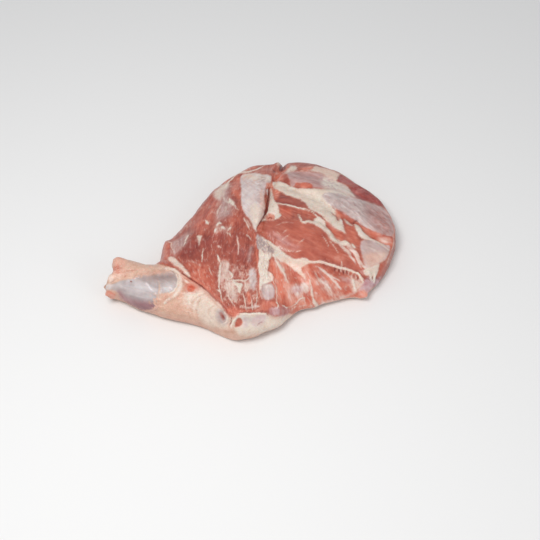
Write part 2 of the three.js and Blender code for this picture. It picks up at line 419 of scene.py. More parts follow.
# %% Shank
SHANK_FAT = [(100, 250), (125, 252), (150, 262), (162, 264), (171.5, 267.5), (179, 271.3), (190, 279.5),
             (197, 284), (205, 290), (212, 297), (220, 304.3), (224.5, 310.3), (229, 316), (242, 314),
             (266, 313),
             (275, 317), (292, 314), (300, 330), (270, 345), (240, 350), (200, 340), (150, 322), (100, 306)]
lay("peach", area(SHANK_FAT, 1.2), 0.95, 0.0, 0.05 + 0.25 * wander(7, 31), 0.15 + 0.3 * wander(12, 32))
lay_all("shank", [
    ("top fat", "fat", 0.45, 3, 0.5, 0.0, 0.2, 5, [(122, 260), (140, 264), (158, 268), (172, 272)]),
    ("skin over the bone", "silver", 0.97, 1.2, -0.8, 0.0, -0.2, None,
     [(106, 287), (113, 284), (120, 281), (129, 279), (136, 277), (142, 276), (152, 276), (160, 274),
      (172, 273),
      (176, 275), (177, 281), (176, 288), (170, 292), (165, 293), (161, 293), (158, 298), (155, 301),
      (156, 307),
      (150, 310), (142, 310), (134, 307), (127, 301), (120, 294), (112, 290)]),
    ("its shaded top", "silver", 0.9, 3.5, 0, -0.55, 0.2, None,
     [(136, 276), (150, 274), (160, 272), (173, 272), (177, 280), (170, 281), (158, 282), (146, 281)]),
    ("fat thinning out over it", "peach", 0.4, 4, 0, 0, 0.1, 4,
     [(124, 278), (138, 275), (152, 273.5), (166, 272)]),
    ("pearly middle", "silver", 0.95, 4, 0, 0.2, -0.4, None,
     [(122, 284), (132, 282), (146, 284), (155, 286), (155, 291), (144, 292), (130, 291), (121, 288)]),
    ("pearly right end", "silver", 0.9, 2.5, 0, 0.2, -0.2, None,
     [(162, 285), (168, 284), (174, 283), (174, 288), (168, 291), (162, 291)]),
    ("grey shade", "silver", 0.8, 4, 0, -0.25, -0.4, None,
     [(120, 290), (132, 294), (146, 296), (156, 295), (156, 303), (144, 303), (130, 300)]),
    ("plum shade", "plum", 0.9, 4, 0, -0.45, 0, None,
     [(118, 291), (126, 297), (138, 301), (152, 303), (157, 307), (150, 312), (140, 312), (130, 308),
      (122, 301)]),
    ("ridge across", "peach", 0.7, 0.9, 0.9, 0.15, 0.1, 2.2,
     [(158.5, 281), (159.5, 288), (158.5, 294), (156, 300)]),
    ("torn edge below the window", "peach", 0.8, 0.9, 0.8, 0.3, 0.35, 2.2,
     [(176, 292), (170, 295), (165, 295), (162, 300), (156.5, 299), (154.5, 302), (156.5, 307), (152, 310),
      (144, 311.5)]),
    ("collar", "fat", 0.8, 1.3, 1.6, 0.2, 0.25, 5.5,
     [(166, 268.5), (174, 270), (180, 275), (181, 282), (179.5, 289), (175, 295), (169, 299), (164, 303)]),
    ("inner lip of the collar", "fat", 0.75, 0.8, 0.8, 0.45, 0.2, 1.8,
     [(175.5, 273), (177.7, 279), (177.3, 285), (174, 290.5), (169, 293.5)]),
    ("sawn knob", "peach", 0.9, 2, 0.8, 0.05, 0.75, None,
     [(112, 258), (118, 256), (124, 258), (125, 266), (121, 273), (114, 273), (112, 266)]),
    ("red on the knob", "lean", 0.75, 1.5, -0.5, 0.3, 0.6, None,
     [(113, 267), (118, 265), (121, 268), (118, 273), (113, 272)]),
    ("pink line", "lean", 0.5, 1, 0, 0.35, 0.3, 1.8, [(116, 274), (126, 271), (138, 270), (150, 272)]),
    ("white nub", "fat", 0.7, 1.2, 1, 0.3, 0.6, None,
     [(109, 275), (113, 275), (114, 280), (111, 283), (108, 280)]),
    ("brown under it", "blood_and_shade", 0.35, 1, -0.8, 0.3, 0.3, 2, [(110, 283), (115, 280)]),
    ("pale tip", "silver", 0.8, 1.2, 0.6, 0.7, 0, None,
     [(103, 287), (108, 284), (113, 285), (111, 289), (105, 290)]),
    ("orange nub", "lean", 0.8, 1, 0.8, 0.5, 0.9, None,
     [(104, 291), (110, 291), (115, 294), (114, 299), (108, 298), (104, 295)]),
    ("brown speck", "blood_and_shade", 0.6, 0.8, -0.5, 0.2, 0.3, 2.2, [(124.5, 275.5), (125.5, 277.5)]),
    ("brown speck", "blood_and_shade", 0.8, 0.6, -0.6, 0, 0.3, 1.6, [(130, 281), (131.5, 281.6)]),
    ("pink below", "peach", 0.9, 3, 0, -0.1, 0.8, None,
     [(110, 296), (126, 304), (142, 312), (158, 315), (175, 318), (195, 324), (215, 333), (235, 341),
      (235, 346),
      (200, 340), (150, 325), (110, 306)]),
])
BELOW_WINDOW = [(150, 294), (166, 297), (178, 294), (186, 304), (182, 314), (164, 313), (152, 310)]
BESIDE_SWIRL = [(184, 290), (196, 288), (203, 300), (200, 318), (188, 314), (182, 302)]
ABOVE_WINDOW = [(112, 258), (130, 262), (160, 268), (172, 272), (150, 275), (126, 279), (112, 274)]
dapple(BELOW_WINDOW, "peach", 3.5, 33, 0.7, 0.7, 0.1, 0.6)
dapple(BESIDE_SWIRL, "fat", 2.6, 34, 0.6, 0.5, 0.2, 0.5)
dapple(ABOVE_WINDOW, "peach", 4, 35, 0.6, 0.4, 0.25, 0.6)

# %% Elbow
lay_all("elbow", [
    ("creamy fat", "fat", 0.75, 3.5, 0.3, 0.1, 0.2, None,
     [(190, 286), (197, 286), (205, 291), (212, 298), (219, 305), (224, 312), (230, 318), (228, 328),
      (214, 328),
      (202, 322), (196, 313), (188, 306), (184, 296)]),
    ("pink flesh", "lean", 0.45, 2.2, 0, 0.55, 0.1, None,
     [(181, 273.5), (186, 276.5), (193, 281.5), (198, 286), (196, 291), (190, 293), (184, 290),
      (182, 282)]),
    ("white fleck", "fat", 0.8, 0.9, 0.5, 0.3, 0.2, 2.4, [(184.5, 280), (187, 282), (189.5, 283)]),
    ("round the red spot", "lean", 0.45, 2.2, 0, 0.6, 0.8, None,
     [(185, 286), (190.5, 282), (197, 285), (199, 290), (192, 293.5), (186, 291)]),
    ("red spot", "lean", 0.98, 1.0, -0.9, -0.1, 1, None,
     [(187.5, 287), (190.5, 284.8), (193.5, 286), (195, 289), (191, 291.3), (187.8, 290)]),
    ("dark in it", "blood_and_shade", 0.5, 0.9, -0.3, 0.3, 0.5, 2, [(188.5, 288.5), (191.5, 290)]),
    ("olive shade under the sheet", "blood_and_shade", 0.3, 1.6, -0.3, 0.5, 0.6, 3.2,
     [(196, 285.5), (204, 291), (211, 298.5), (218, 306), (223, 312)]),
    # The ring round the dimple is grey skin darkened with painted shade, and the dark in the dimple is
    # painted shade in its dent.
    ("ring of the dimple", "silver", 0.75, 2.2, -1.0, -0.3, 0.1, None,
     [(216.5, 311), (221, 309.5), (226.5, 313.5), (228.5, 319), (226, 324.5), (220.5, 325), (216.5, 320)]),
    ("cream ring", "fat", 0.7, 0.9, 0.6, 0.3, 0.1, 2,
     [(224.5, 312.5), (227, 317), (226, 322), (221.5, 324.5)]),
    ("dimple", "blood_and_shade", 0.65, 1.1, -1.4, 0.6, 0.1, None,
     [(218.5, 313), (221.5, 312), (224, 315.5), (224.8, 319.5), (222, 321), (219.5, 318)]),
    ("dark in it", "blood_and_shade", 0.8, 0.7, -0.8, 0.0, 0.1, 1.8, [(221.5, 316), (222.5, 318.5)]),
    ("brown crack", "blood_and_shade", 0.75, 0.7, -1.4, 0, 0.3, 1.7, [(230.8, 316.5), (231.3, 321), (229.5, 325.5)]),
    ("creamy right", "fat", 0.8, 2.5, 0, 0.05, 0.1, None,
     [(236, 314), (250, 314), (264, 314), (275, 318), (292, 315), (282, 327), (262, 335), (245, 337),
      (234, 330)]),
    ("peach below", "peach", 0.6, 3, 0, 0.15, 0.4, None,
     [(205, 330), (222, 333), (240, 338), (256, 335), (250, 341), (230, 342), (208, 336)]),
    ("greyish top", "silver", 0.5, 2.2, 0, 0.3, 0.0, None,
     [(240, 315), (252, 316), (266, 315), (268, 319), (254, 322), (246, 328), (243, 321)]),
    ("lilac skin", "plum", 0.4, 1.6, 0, 0.8, 0, None,
     [(253, 318), (260, 314), (266, 316), (264, 324), (256, 328), (251, 324)]),
    ("lilac beside the eye", "plum", 0.35, 1.8, 0, 0.8, 0, None,
     [(242, 318), (247, 319), (247, 327), (242, 327)]),
    ("red line", "blood_and_shade", 0.45, 0.7, -0.4, 0.4, 0.1, 1.5, [(257, 326), (259.5, 323.5), (262.3, 321.8)]),
    ("eye", "lean", 0.97, 0.8, -1.0, 0.05, 0.3, None,
     [(235, 324.5), (237, 319.5), (239.5, 318), (242, 320.5), (242, 324.5), (238.5, 327), (235, 327)]),
    ("rim of the eye", "fat", 0.9, 0.8, 1.3, 0.35, 0, 2.4,
     [(237.5, 316), (234.8, 319.5), (231.8, 324), (231.5, 328)]),
    ("strap", "fat", 0.95, 0.8, 0.6, 0.35, 0, 2.6, [(239, 314), (252, 313.5), (266, 313.5)]),
])
# Grooves of the swirl: depth in mm, width in mm, and the line. Each of these grooves is dented and darkened
# with painted shade; a ridge just up and left of it is raised and lightened with a painted highlight.
SWIRL = (
    (1.5, 2.2, [(200, 299), (197, 305), (196.2, 312), (197.5, 319), (201.5, 325), (207, 328.5)]),
    (0.9, 1.6, [(214, 306), (209.5, 309), (208.5, 314), (211.5, 318.5)]),
    (0.3, 1.5, [(205, 294), (198, 296.5), (192, 303)]),
    (0.6, 1.5, [(193.5, 297), (191, 301.5), (192, 306)]),
    (0.5, 1.5, [(188, 305), (190.5, 309), (188, 314), (190, 318)]),
    (0.6, 1.8, [(216, 327), (225, 331), (236, 332)]),
)
for depth, width, line in SWIRL:
    groove_and_shade = strand(line, width, 1.4)
    ridge_and_highlight = strand([(u - 1.6, v - 1.2) for u, v in line], width, 1.4)
    relief += 0.6 * depth * ridge_and_highlight - depth * groove_and_shade
    # painted highlight on the ridge, painted shade in the dent
    bright += 0.3 * ridge_and_highlight - 0.35 * groove_and_shade
    warm += 0.2 * groove_and_shade
print(len(SWIRL), "grooves worked into the elbow's fat")

# %% [markdown]
# ## Breast sheet
# A flat sheet of thin muscle lies over the shank, with fibres that fan from the elbow to
# the notch. Its lower edge is torn and overhangs. Rags of white membrane stick to it.

# %% Breast sheet: lean
SHEET_EDGE = [(161, 264.5), (171.5, 267), (178.7, 270.8), (190, 279), (197.3, 283.5), (205.2, 289.5),
              (212, 296.5), (220, 303.8), (224.5, 309.8), (228.5, 315), (233, 316.5)]
SHEET_LIP = [(165, 261.5), (173, 264.5), (180.5, 268.5), (191.8, 276.8), (199, 281.3), (207, 287),
             (214, 294),
             (222, 301.5), (227, 307.5), (232, 312.5), (244, 310.5), (262, 310)]
# Outline, soft mm, light and warmth of each shade in the sheet
SHADES = {
    "dark left": ([(176, 236), (190, 232), (206, 236), (207, 250), (196, 259),
                   (180, 254)], 5, -0.35, -0.15),
    "dark by the panel": ([(228, 214), (240, 214), (242, 228), (232, 230)], 4, -0.2, 0.1),
    "dark right": ([(222, 236), (245, 232), (252, 250), (246, 276), (232, 276),
                    (224, 256)], 7, -0.22, -0.1),
    "orange top": ([(196, 214), (216, 194), (220, 204), (206, 232), (196, 236)], 5, 0.05, 0.5),
    "orange foot": ([(180, 262), (200, 262), (216, 276), (218, 300), (206, 296), (190, 282)], 5, 0.05, 0.4),
}
for outline, soft, light, warmth in SHADES.values():
    shade(outline, soft, light, warmth)
lay_all("breast sheet", [
    ("flesh under the rim", "lean", 0.9, 1.5, 0, 0.1, 0.45, None,
     [(164, 238), (171, 243), (172, 256), (166, 263), (158, 262), (162, 252)]),
    # Along the sheet's overhanging edge, the brown line and the dark line under it are painted shadow.
    ("brown painted shadow under the sheet", "blood_and_shade", 0.55, 0.9, -1.4, 0.35, 0.5, 1.8, SHEET_EDGE),
    ("painted shadow under the sheet", "blood_and_shade", 0.85, 0.9, -1.4, 0.0, 0.4, 1.8,
     [(182, 273.3), (190, 279), (197.3, 283.5), (205.2, 289.5)]),
    ("lip of the sheet", "lean", 0.6, 1, 0.7, 0.3, 0.6, 2.6, SHEET_LIP),
    ("tendon", "fat", 0.85, 1.1, 1.4, 0.2, 0.4, None,
     [(168, 259), (171, 256.5), (175, 258.5), (180, 263), (185.5, 269), (191, 276.3), (188, 277),
      (181, 270.5),
      (175, 266.5), (170.5, 263)]),
    ("brown behind the tendon", "blood_and_shade", 0.5, 0.8, -0.8, 0.2, 0.3, 1.6,
     [(174, 255.5), (179, 259.5), (184.5, 265), (190.5, 272.5)]),
    ("torn vein", "lean", 0.8, 0.6, 0.6, 0.5, 0.3, 1.3,
     [(164, 262), (166, 260.8), (168.5, 262), (167.5, 264), (165, 264)]),
    ("tag", "lean", 0.9, 0.9, 0.5, 0.3, 0.6, None,
     [(163, 237), (168, 242), (170, 247), (165, 248), (163, 243)]),
    ("rim of the tag", "fat", 0.7, 0.6, 0.3, 0.2, 0.2, 1.4, [(163, 236.5), (166, 241), (171, 243)]),
    ("grey veil", "silver", 0.5, 2, 0, 0.1, 0.5, None,
     [(171, 243), (176, 240), (184, 234), (190, 233), (187, 243), (180, 252), (174, 256), (171, 250)]),
    ("line in it", "fat", 0.8, 0.6, 0.3, 0, 0.2, 1.3, [(189.2, 235), (186.4, 239), (183, 247)]),
    ("line in it", "fat", 0.7, 0.6, 0.3, 0, 0.2, 1.3, [(171, 242.8), (171.5, 247), (174, 252)]),
    ("broad veil", "silver", 0.5, 4, 0.2, 0.1, 0.1, None,
     [(219, 186), (227, 182.5), (231, 187), (230, 197), (234, 205), (232, 216), (224, 220), (216, 221),
      (215, 212), (219, 203), (215, 198), (213.5, 193)]),
    ("creamy veil", "fat", 0.7, 2.2, 0.3, -0.1, 0.2, None,
     [(220, 186), (227.5, 183), (229.5, 186), (224, 191), (220.5, 199.5), (216, 198.5), (213.5, 194)]),
    ("soft line", "fat", 0.6, 1.1, 0.2, 0, 0.3, 1.6, [(223.7, 193), (224.6, 199.7), (229.4, 203.6)]),
    ("streak", "fat", 0.6, 1.2, 0.2, 0, 0.1, 2.2, [(222, 204), (218.5, 210), (217, 216)]),
    ("streak", "fat", 0.5, 1.2, 0.2, 0, 0.1, 2, [(226.5, 206), (225.5, 212)]),
    ("spot", "fat", 0.95, 0.8, 0.6, 0.2, 0, 3.8, [(206.3, 221), (208, 224)]),
    ("soft rag", "veil", 0.5, 2, 0.3, 0.35, 0, None,
     [(214.5, 234), (215, 226), (219, 222), (224, 226), (231, 226), (232, 230), (226, 234), (220, 232.5)]),
    ("rag", "fat", 0.9, 0.8, 0.5, 0.1, 0, 2.2, [(214.8, 232.5), (216, 229)]),
    ("rag", "fat", 0.9, 0.8, 0.5, 0.1, 0, 2.6, [(217, 225.5), (219.5, 223), (221.5, 223.5)]),
    ("rag", "fat", 0.9, 0.8, 0.6, 0.1, 0, 2.4, [(221.5, 227), (225, 228.5)]),
    ("rag", "fat", 0.85, 0.8, 0.5, 0.1, 0, 2.2, [(228, 230), (231, 227.5)]),
    ("rag", "fat", 0.7, 0.8, 0.3, 0.1, 0, 1.8, [(226.5, 233), (229.5, 234), (231, 236.5)]),
    ("star", "fat", 0.9, 1, 0.6, 0.1, 0, 3.8, [(230, 199), (232, 202.5), (234, 205.5)]),
    ("star", "fat", 0.7, 1, 0.3, 0.1, 0, 2.2, [(228, 202), (235.5, 202.5)]),
    ("star's tail", "fat", 0.8, 0.6, 0.2, 0.1, 0, 1.1, [(235, 205.5), (236.3, 208), (238, 210)]),
    ("wedge", "fat", 0.8, 0.8, 0.4, 0, 0, None,
     [(196.5, 235.5), (201.5, 236), (200.5, 241), (199, 246), (198, 240)]),
    ("arc", "fat", 0.8, 0.6, 0.3, 0.1, 0, 1.1, [(245.7, 235), (249, 236.5), (251.5, 241)]),
    ("line by the panel", "fat", 0.8, 0.7, 0.3, 0.1, 0, 1.6,
     [(243.7, 217.5), (246.3, 222.7), (249.5, 229.4)]),
    ("line by the panel", "fat", 0.6, 0.7, 0.3, 0.1, 0, 1.2, [(246.5, 219), (250.5, 226)]),
    ("blot", "veil", 0.9, 1, 0.2, 0.2, 0, 3, [(217.5, 246), (220.5, 247.5)]),
    ("creamy drop", "fat", 0.9, 0.8, 0.6, 0.1, 0.1, 2.4, [(217.6, 255), (218.6, 259), (219.8, 262)]),
    ("streak", "fat", 0.85, 0.7, 0.3, 0.1, 0, 1.5, [(203.5, 248), (202.5, 255), (202, 262)]),
    ("streak", "fat", 0.7, 0.6, 0.2, 0.1, 0, 1.2, [(209, 268), (212, 274.5)]),
    ("streak", "veil", 0.9, 0.9, 0.2, 0.2, 0, 2.2, [(237, 236), (238.5, 245), (238.2, 255)]),
    ("soft veil", "silver", 0.55, 1.8, 0, 0.1, 0.4, None,
     [(250, 246), (254, 247), (251, 255), (250.5, 262), (247, 262), (248, 254)]),
    ("purple spot", "blood_and_shade", 0.5, 1.3, -0.4, 0, -0.5, 2.6, [(249.5, 260.5), (250, 263)]),
    ("dull band", "veil", 0.5, 1.2, 0, -0.3, 0.4, 2.4, [(186, 260), (194, 262), (202, 266)]),
])

# %% Breast sheet: white network near the elbow
VEILED = [(217, 262), (232, 264), (256, 268), (258, 290), (256, 306), (240, 308), (226, 304), (217, 288)]
lay("veil", area(VEILED, 5), 0.18, 0.0, 0.4, 0.1)
dapple(VEILED, "veil", 4, 83, 0.35, 0.2, 0.5, 0.1)
lay_all("white network", [
    ("veil", "veil", 0.8, 2, 0.2, 0.1, 0, None,
     [(221, 262), (229, 262), (229, 270), (233, 276), (222, 279)]),
    ("upright band", "fat", 0.8, 1, 0.4, 0, 0, 2.8,
     [(221, 263.5), (219.6, 272), (219.2, 281), (218.8, 287)]),
    ("thin line", "fat", 0.8, 0.7, 0.4, 0.1, 0, 1.3, [(218.5, 286), (220, 290), (221, 297), (223, 302)]),
    ("knot", "fat", 0.9, 0.7, 0.5, 0.1, 0, 2, [(217, 290), (220, 291.5)]),
    ("net", "fat", 0.7, 0.6, 0.3, 0.1, 0, 1.2,
     [(223, 272), (228, 271), (232, 274), (231, 278), (225, 278), (223, 274)]),
    ("net", "fat", 0.8, 0.6, 0.4, 0.2, 0, 1.8, [(230, 273), (232.5, 276)]),
    ("bar", "fat", 0.85, 0.8, 0.5, 0.1, 0, 1.9,
     [(226.5, 280), (233.6, 280.7), (240, 280.5), (246, 280.7), (250, 276)]),
    ("wide rag", "fat", 0.9, 1, 0.7, 0.1, 0, None,
     [(233, 281), (238, 283), (243, 284), (242, 288), (240, 293.5), (237.5, 291), (236, 286), (232, 285)]),
    ("veil below", "veil", 0.85, 1.6, 0.2, 0.25, 0, None,
     [(224, 283), (233, 283), (237, 292), (236, 302), (232, 298), (227, 294)]),
    ("pale patch", "veil", 0.9, 1.3, 0.3, 0.2, 0, None, [(245, 282), (249, 284), (248, 292), (244.5, 291)]),
    ("pale patch", "veil", 0.85, 1.2, 0.2, 0.2, 0, 3.2, [(250, 272), (251.5, 280), (249, 288)]),
    ("lilac strip", "silver", 0.75, 1.6, 0, 0.15, 0.2, None,
     [(249.5, 270), (254.5, 268.5), (256.5, 275), (256.5, 284), (254.5, 290), (251, 287.5), (249, 280)]),
    ("streak", "fat", 0.7, 0.6, 0.3, 0.1, 0.1, 1.2, [(250.5, 295), (252, 304), (252.7, 312)]),
    ("streak", "fat", 0.7, 0.6, 0.3, 0.1, 0.2, 1.2, [(243, 292), (245, 302), (246, 312)]),
    ("streak", "fat", 0.6, 0.6, 0.3, 0.1, 0.1, 1.4, [(256.8, 290), (257, 298), (255, 310)]),
    ("streak", "veil", 0.9, 0.7, 0.2, 0.1, 0.1, 1.4, [(228, 296), (233, 304), (237, 311)]),
    ("orange flesh", "lean", 0.8, 1, 0, 0.25, 0.9, None,
     [(247, 292), (250, 293), (251, 303), (247.5, 302)]),
    ("orange flesh", "lean", 0.8, 1.8, 0, 0.15, 0.9, None,
     [(226, 309), (234, 307), (240, 311), (236, 317), (229, 316)]),
    ("pale above the strap", "veil", 0.7, 1.5, 0, 0.2, 0.1, 3, [(241, 307), (250, 308), (259, 306)]),
    ("orange line", "lean", 0.8, 0.7, 0.2, 0.2, 0.8, 1.4, [(240, 312), (248, 311), (256, 311.5)]),
    ("dark line under it", "blood_and_shade", 0.6, 0.5, -1, 0.2, 0.4, 1, [(241, 313), (248, 312.2), (258, 312.5)]),
    ("orange edge", "lean", 0.85, 0.9, 0.3, 0.3, 0.75, 1.8,
     [(254.5, 234), (255.6, 242), (256.7, 254), (259, 270), (259.5, 284), (259.4, 298)]),
])

# %% [markdown]
# ## Ridge, notch and panel
# Along the far rim two pink muscles lie like scales over the sheet, with a bright line
# of skin between. The panel beside the notch is covered with pearly silverskin.

# %% Far rim and pearly panel
PANEL = [(240.4, 177.3), (245.7, 174), (255.2, 173.4), (264.8, 175), (271, 175.8), (271, 182), (266.2, 186),
         (265.3, 190), (263.8, 198), (264.8, 204), (266.2, 211), (263, 219), (259, 225.6), (256.2, 231.5),
         (253.8, 227.5), (250.5, 220), (245.7, 215), (242.3, 207.4), (240.9, 199.7), (241.4, 191)]
lay_all("far rim and panel", [
    ("left rim muscle", "lean", 0.95, 1, 0, 0.25, 0.6, None,
     [(220.8, 183.5), (231.3, 174), (241, 169), (248.5, 167), (257, 166.3), (251.4, 170.6), (240, 172.5),
      (233.2, 176.3), (226.5, 182.5)]),
    ("veil on it", "veil", 0.45, 2, 0, 0.2, 0, 3.5, [(228, 179), (238, 172.5), (250, 168.5)]),
    ("right rim muscle", "lean", 0.9, 0.9, 0, 0.2, 0.2, None,
     [(251.4, 171.5), (263, 166), (273.4, 164.4), (279, 164.4), (275, 170), (273.4, 173), (264.8, 173.9),
      (257, 173.4)]),
    ("flesh left of the panel", "lean", 0.9, 1.5, 0, 0.15, 0.65, None,
     [(240.5, 177.5), (236.5, 178), (233, 183), (231.5, 192), (235, 196), (240, 198), (241, 186)]),
    ("panel", "silver", 0.96, 1, 0.3, 0.6, 0.3, None, PANEL),
    ("white top of the panel", "fat", 0.7, 1.8, 0, 0.2, 0.1, None,
     [(243, 176), (251, 173.8), (262, 175), (270, 176), (270.5, 181), (262, 181), (250, 180)]),
    ("orange corner", "peach", 0.7, 1.5, 0, 0.3, 0.6, 3, [(242, 180), (247, 176), (252, 175.5)]),
    ("orange patch", "peach", 0.55, 1.8, 0, 0.1, 0.8, None,
     [(259.5, 191), (263.5, 189), (264, 198), (265, 208), (262, 213), (259, 205)]),
    ("cream corner", "fat", 0.75, 2.2, 0.5, -0.05, 0.1, None,
     [(249, 208), (255, 203), (263, 212), (261, 221), (256, 231), (250.5, 219)]),
    ("bright line", "fat", 0.85, 0.7, 0.7, 0.35, 0.1, 1.7,
     [(226, 187), (229.4, 181.6), (234.2, 176.8), (241, 173), (251.4, 171.3), (260, 168.2),
      (264.8, 165.5)]),
    ("far edge line", "fat", 0.8, 0.7, 0.3, 0.3, 0.3, 1.4,
     [(222, 183), (231, 173), (240, 168), (250, 166), (262, 165)]),
    ("orange fold", "lean", 0.9, 1.2, 0.6, 0.55, 0.9, None,
     [(266, 184), (270, 182.5), (272.5, 185), (271.5, 188.5), (267.5, 188.5)]),
    ("bluish bead", "silver", 0.95, 0.8, 0.8, 0.6, 0, 2.6, [(267.3, 189.5), (266.8, 195)]),
    ("red beside the cleft", "lean", 0.7, 1, 0, 0.3, 0.5, 1.8, [(267, 197), (266.5, 204), (264, 213)]),
    # The cleft is dented, and its dark colour is painted shade in the deep seam.
    ("cleft", "blood_and_shade", 0.95, 0.8, -2.5, 0, 0.1, 2.0,
     [(269.6, 188), (269.1, 195), (268.1, 202.6), (266.2, 211.2), (263, 219), (258.5, 225.6),
      (256.8, 230)]),
])
dapple(PANEL, "silver", 5, 78, 0.3, 0.0, 0.2, 0.2)
PANEL_TOP = [(241, 178), (252, 174), (268, 176), (262, 182), (246, 186)]
PANEL_RIGHT = [(257, 180), (268, 180), (264, 192), (262, 204), (257, 200)]
dapple(PANEL_TOP, "peach", 3, 79, 0.5, 0.2, 0.2, 0.7)
dapple(PANEL_RIGHT, "silver", 3, 80, 0.7, 0.0, -0.2, 0.3)
print("panel mottled in 3 layers")

# %% Notch
lay_all("notch", [
    ("flesh left of it", "lean", 0.9, 1, 0, 0.15, 0.3, None,
     [(274, 165), (278, 163), (282, 164), (283, 168), (280, 172), (275, 174), (272, 171)]),
    ("white nub", "fat", 0.7, 1, 0.4, 0.2, 0.4, None,
     [(276.5, 162), (280, 161), (282, 164), (279, 166), (276.5, 165)]),
    ("flesh below it", "lean", 0.9, 1, 0.3, 0.35, 0.7, None,
     [(273, 174), (279, 171.5), (285, 170), (286, 175), (281, 180.5), (275, 182), (273, 179)]),
    ("dark red flesh", "lean", 0.9, 1, 0, -0.1, 0.1, None,
     [(283.5, 175), (289.5, 175), (291, 180), (289, 183), (284, 180.5)]),
    ("nub right of it", "lean", 0.9, 0.9, 0.8, 0.15, 0.4, None,
     [(285.5, 168), (287, 164.5), (291, 165), (292, 168), (289, 171.5), (286, 171)]),
    # The dark root and the dark slit are painted shade inside the notch.
    ("dark root", "blood_and_shade", 0.95, 1, -1.2, -0.3, 0, None,
     [(280.5, 167), (283, 165), (285.5, 165.5), (285, 168.5), (282.5, 170.5), (280, 171)]),
    ("dark slit", "blood_and_shade", 0.9, 0.7, -1, -0.2, 0.1, 1.8, [(273.5, 170), (275.5, 172)]),
    ("orange-brown edge", "lean", 0.85, 0.7, 0.4, 0.15, 0.9, 1.4, [(271.8, 173), (272, 178), (272, 184)]),
    ("cream bridge", "fat", 0.75, 1.2, 0.3, 0, 0.1, None,
     [(291, 166), (296, 166), (297, 170), (292, 172), (287, 174), (285, 173)]),
    ("brown hole", "blood_and_shade", 0.6, 0.8, -0.8, 0.1, 0.3, 2, [(297.2, 168), (298.2, 170)]),
])

# %% [markdown]
# ## Neck side
# Right of the cleft a branching band of hard cream fat runs down to the blade, between
# slips of red muscle. Above it lies a purple-pink skin, and above that the pale rim.

# %% Slips of muscle and the purple skin
lay_all("slips and purple skin", [
    ("purple skin", "silver", 0.85, 1.1, 0, -0.1, 0.9, None,
     [(287.6, 173.7), (294.5, 171.7), (305.4, 171.7), (317.2, 172.7), (325, 175.7), (332, 178.7),
      (337, 180.6),
      (345, 184.6), (350, 189.5), (355, 194.5), (356, 198), (349, 196.5), (339, 192.5), (329, 189.5),
      (319.2, 188),
      (312.3, 187.6), (309.3, 184.6), (301.4, 182.6), (297.4, 182.6), (293.5, 186.6), (290.5, 185.6),
      (289.5, 179.7)]),
    ("beige end of it", "fat", 0.85, 2.5, 0.3, 0.2, -0.1, None,
     [(322, 178), (332, 179.5), (344, 185), (350, 190), (355.5, 197), (346, 194), (333, 189.5),
      (323, 187)]),
    ("pale rim", "fat", 0.85, 1.1, 0.3, 0.1, 0.55, None,
     [(300, 171), (306, 169), (315, 166), (330, 170), (340.5, 174.6), (337, 181), (330, 178), (320, 173),
      (310, 171.3)]),
    ("rim flesh, dark", "lean", 0.95, 0.9, 0, -0.25, 0, None,
     [(303, 165), (308, 163.5), (315, 164.5), (313, 167), (306, 167.5)]),
    ("rim flesh, orange", "lean", 0.95, 0.9, 0.5, 0.35, 0.75, None,
     [(302, 168), (308, 166.8), (313.5, 167), (311, 170), (304, 170.5)]),
    ("dark red slip", "lean", 0.95, 0.9, 0, 0.05, -0.8, None,
     [(340.6, 174.6), (348.3, 178.6), (356, 184), (350, 184.8), (342.5, 182.8), (336.8, 181)]),
    ("granular flesh", "lean", 0.97, 0.9, -0.3, -0.45, 0.75, None,
     [(349.8, 186.6), (358.7, 184.3), (367, 188.3), (375, 194), (381, 202), (384, 208.5), (378.5, 206.5),
      (371.6, 204), (363.7, 200.4), (356.8, 198.4), (355.8, 195.5), (352.8, 191.5)]),
    ("edge over it", "fat", 0.7, 0.7, 0.3, 0.2, 0.5, 1.3,
     [(340, 173.5), (350, 178.5), (360, 184), (370, 189), (378, 196)]),
    ("orange slip", "lean", 0.95, 0.9, 0.7, 0.25, 0.75, None,
     [(299.8, 184), (305, 182.4), (311, 184), (312, 187.5), (305, 188.4), (301, 187.3)]),
    ("orange slip", "lean", 0.8, 0.8, 0.4, 0.25, 0.6, 2.6, [(295.5, 183.5), (298.5, 185)]),
    ("dark slip", "lean", 0.95, 0.9, 0, -0.2, -0.25, None,
     [(278.7, 194.4), (285.6, 196.4), (293.3, 198.7), (300.2, 202), (307, 206.3), (304.8, 208.2),
      (297, 206.9),
      (287.5, 204.6), (278, 203.4), (275, 200.2)]),
    ("red slip", "lean", 0.95, 1.2, 0.5, 0.35, 0.95, None,
     [(272.3, 187.5), (276, 188.5), (279.5, 192), (279, 197), (275.5, 199.5), (273, 195)]),
    ("lower slip", "lean", 0.95, 0.9, 0, 0.0, 0.15, None,
     [(278.7, 206.7), (288, 206.5), (297, 209), (308, 211), (316, 216), (312, 221.5), (300, 219.5),
      (290, 218),
      (280, 218.5), (281, 213)]),
    ("bright in it", "lean", 0.9, 1.6, 0, 0.1, 0.7, None,
     [(280, 208), (288, 208), (292, 212), (290, 217.5), (282, 218), (281.5, 213)]),
    ("pale line", "fat", 0.92, 0.7, 0.8, 0.2, 0.1, 1.9,
     [(275, 203), (282, 204.4), (287.5, 205), (297, 207.6), (304, 209.2), (310, 211), (318, 217),
      (325, 222)]),
])
NICKS = (291.5, 296.5, 300.5, 305.5, 309.5)      # where dark nicks cross the lower slip
NICK_TOP = 209.5
for u in NICKS:
    nick = [(u, NICK_TOP), (u + 1.2, NICK_TOP + 4), (u + 1.4, NICK_TOP + 9.5)]
    lay("lean", strand(nick, 1.1), 0.5, -0.4, -0.5, 0.1)

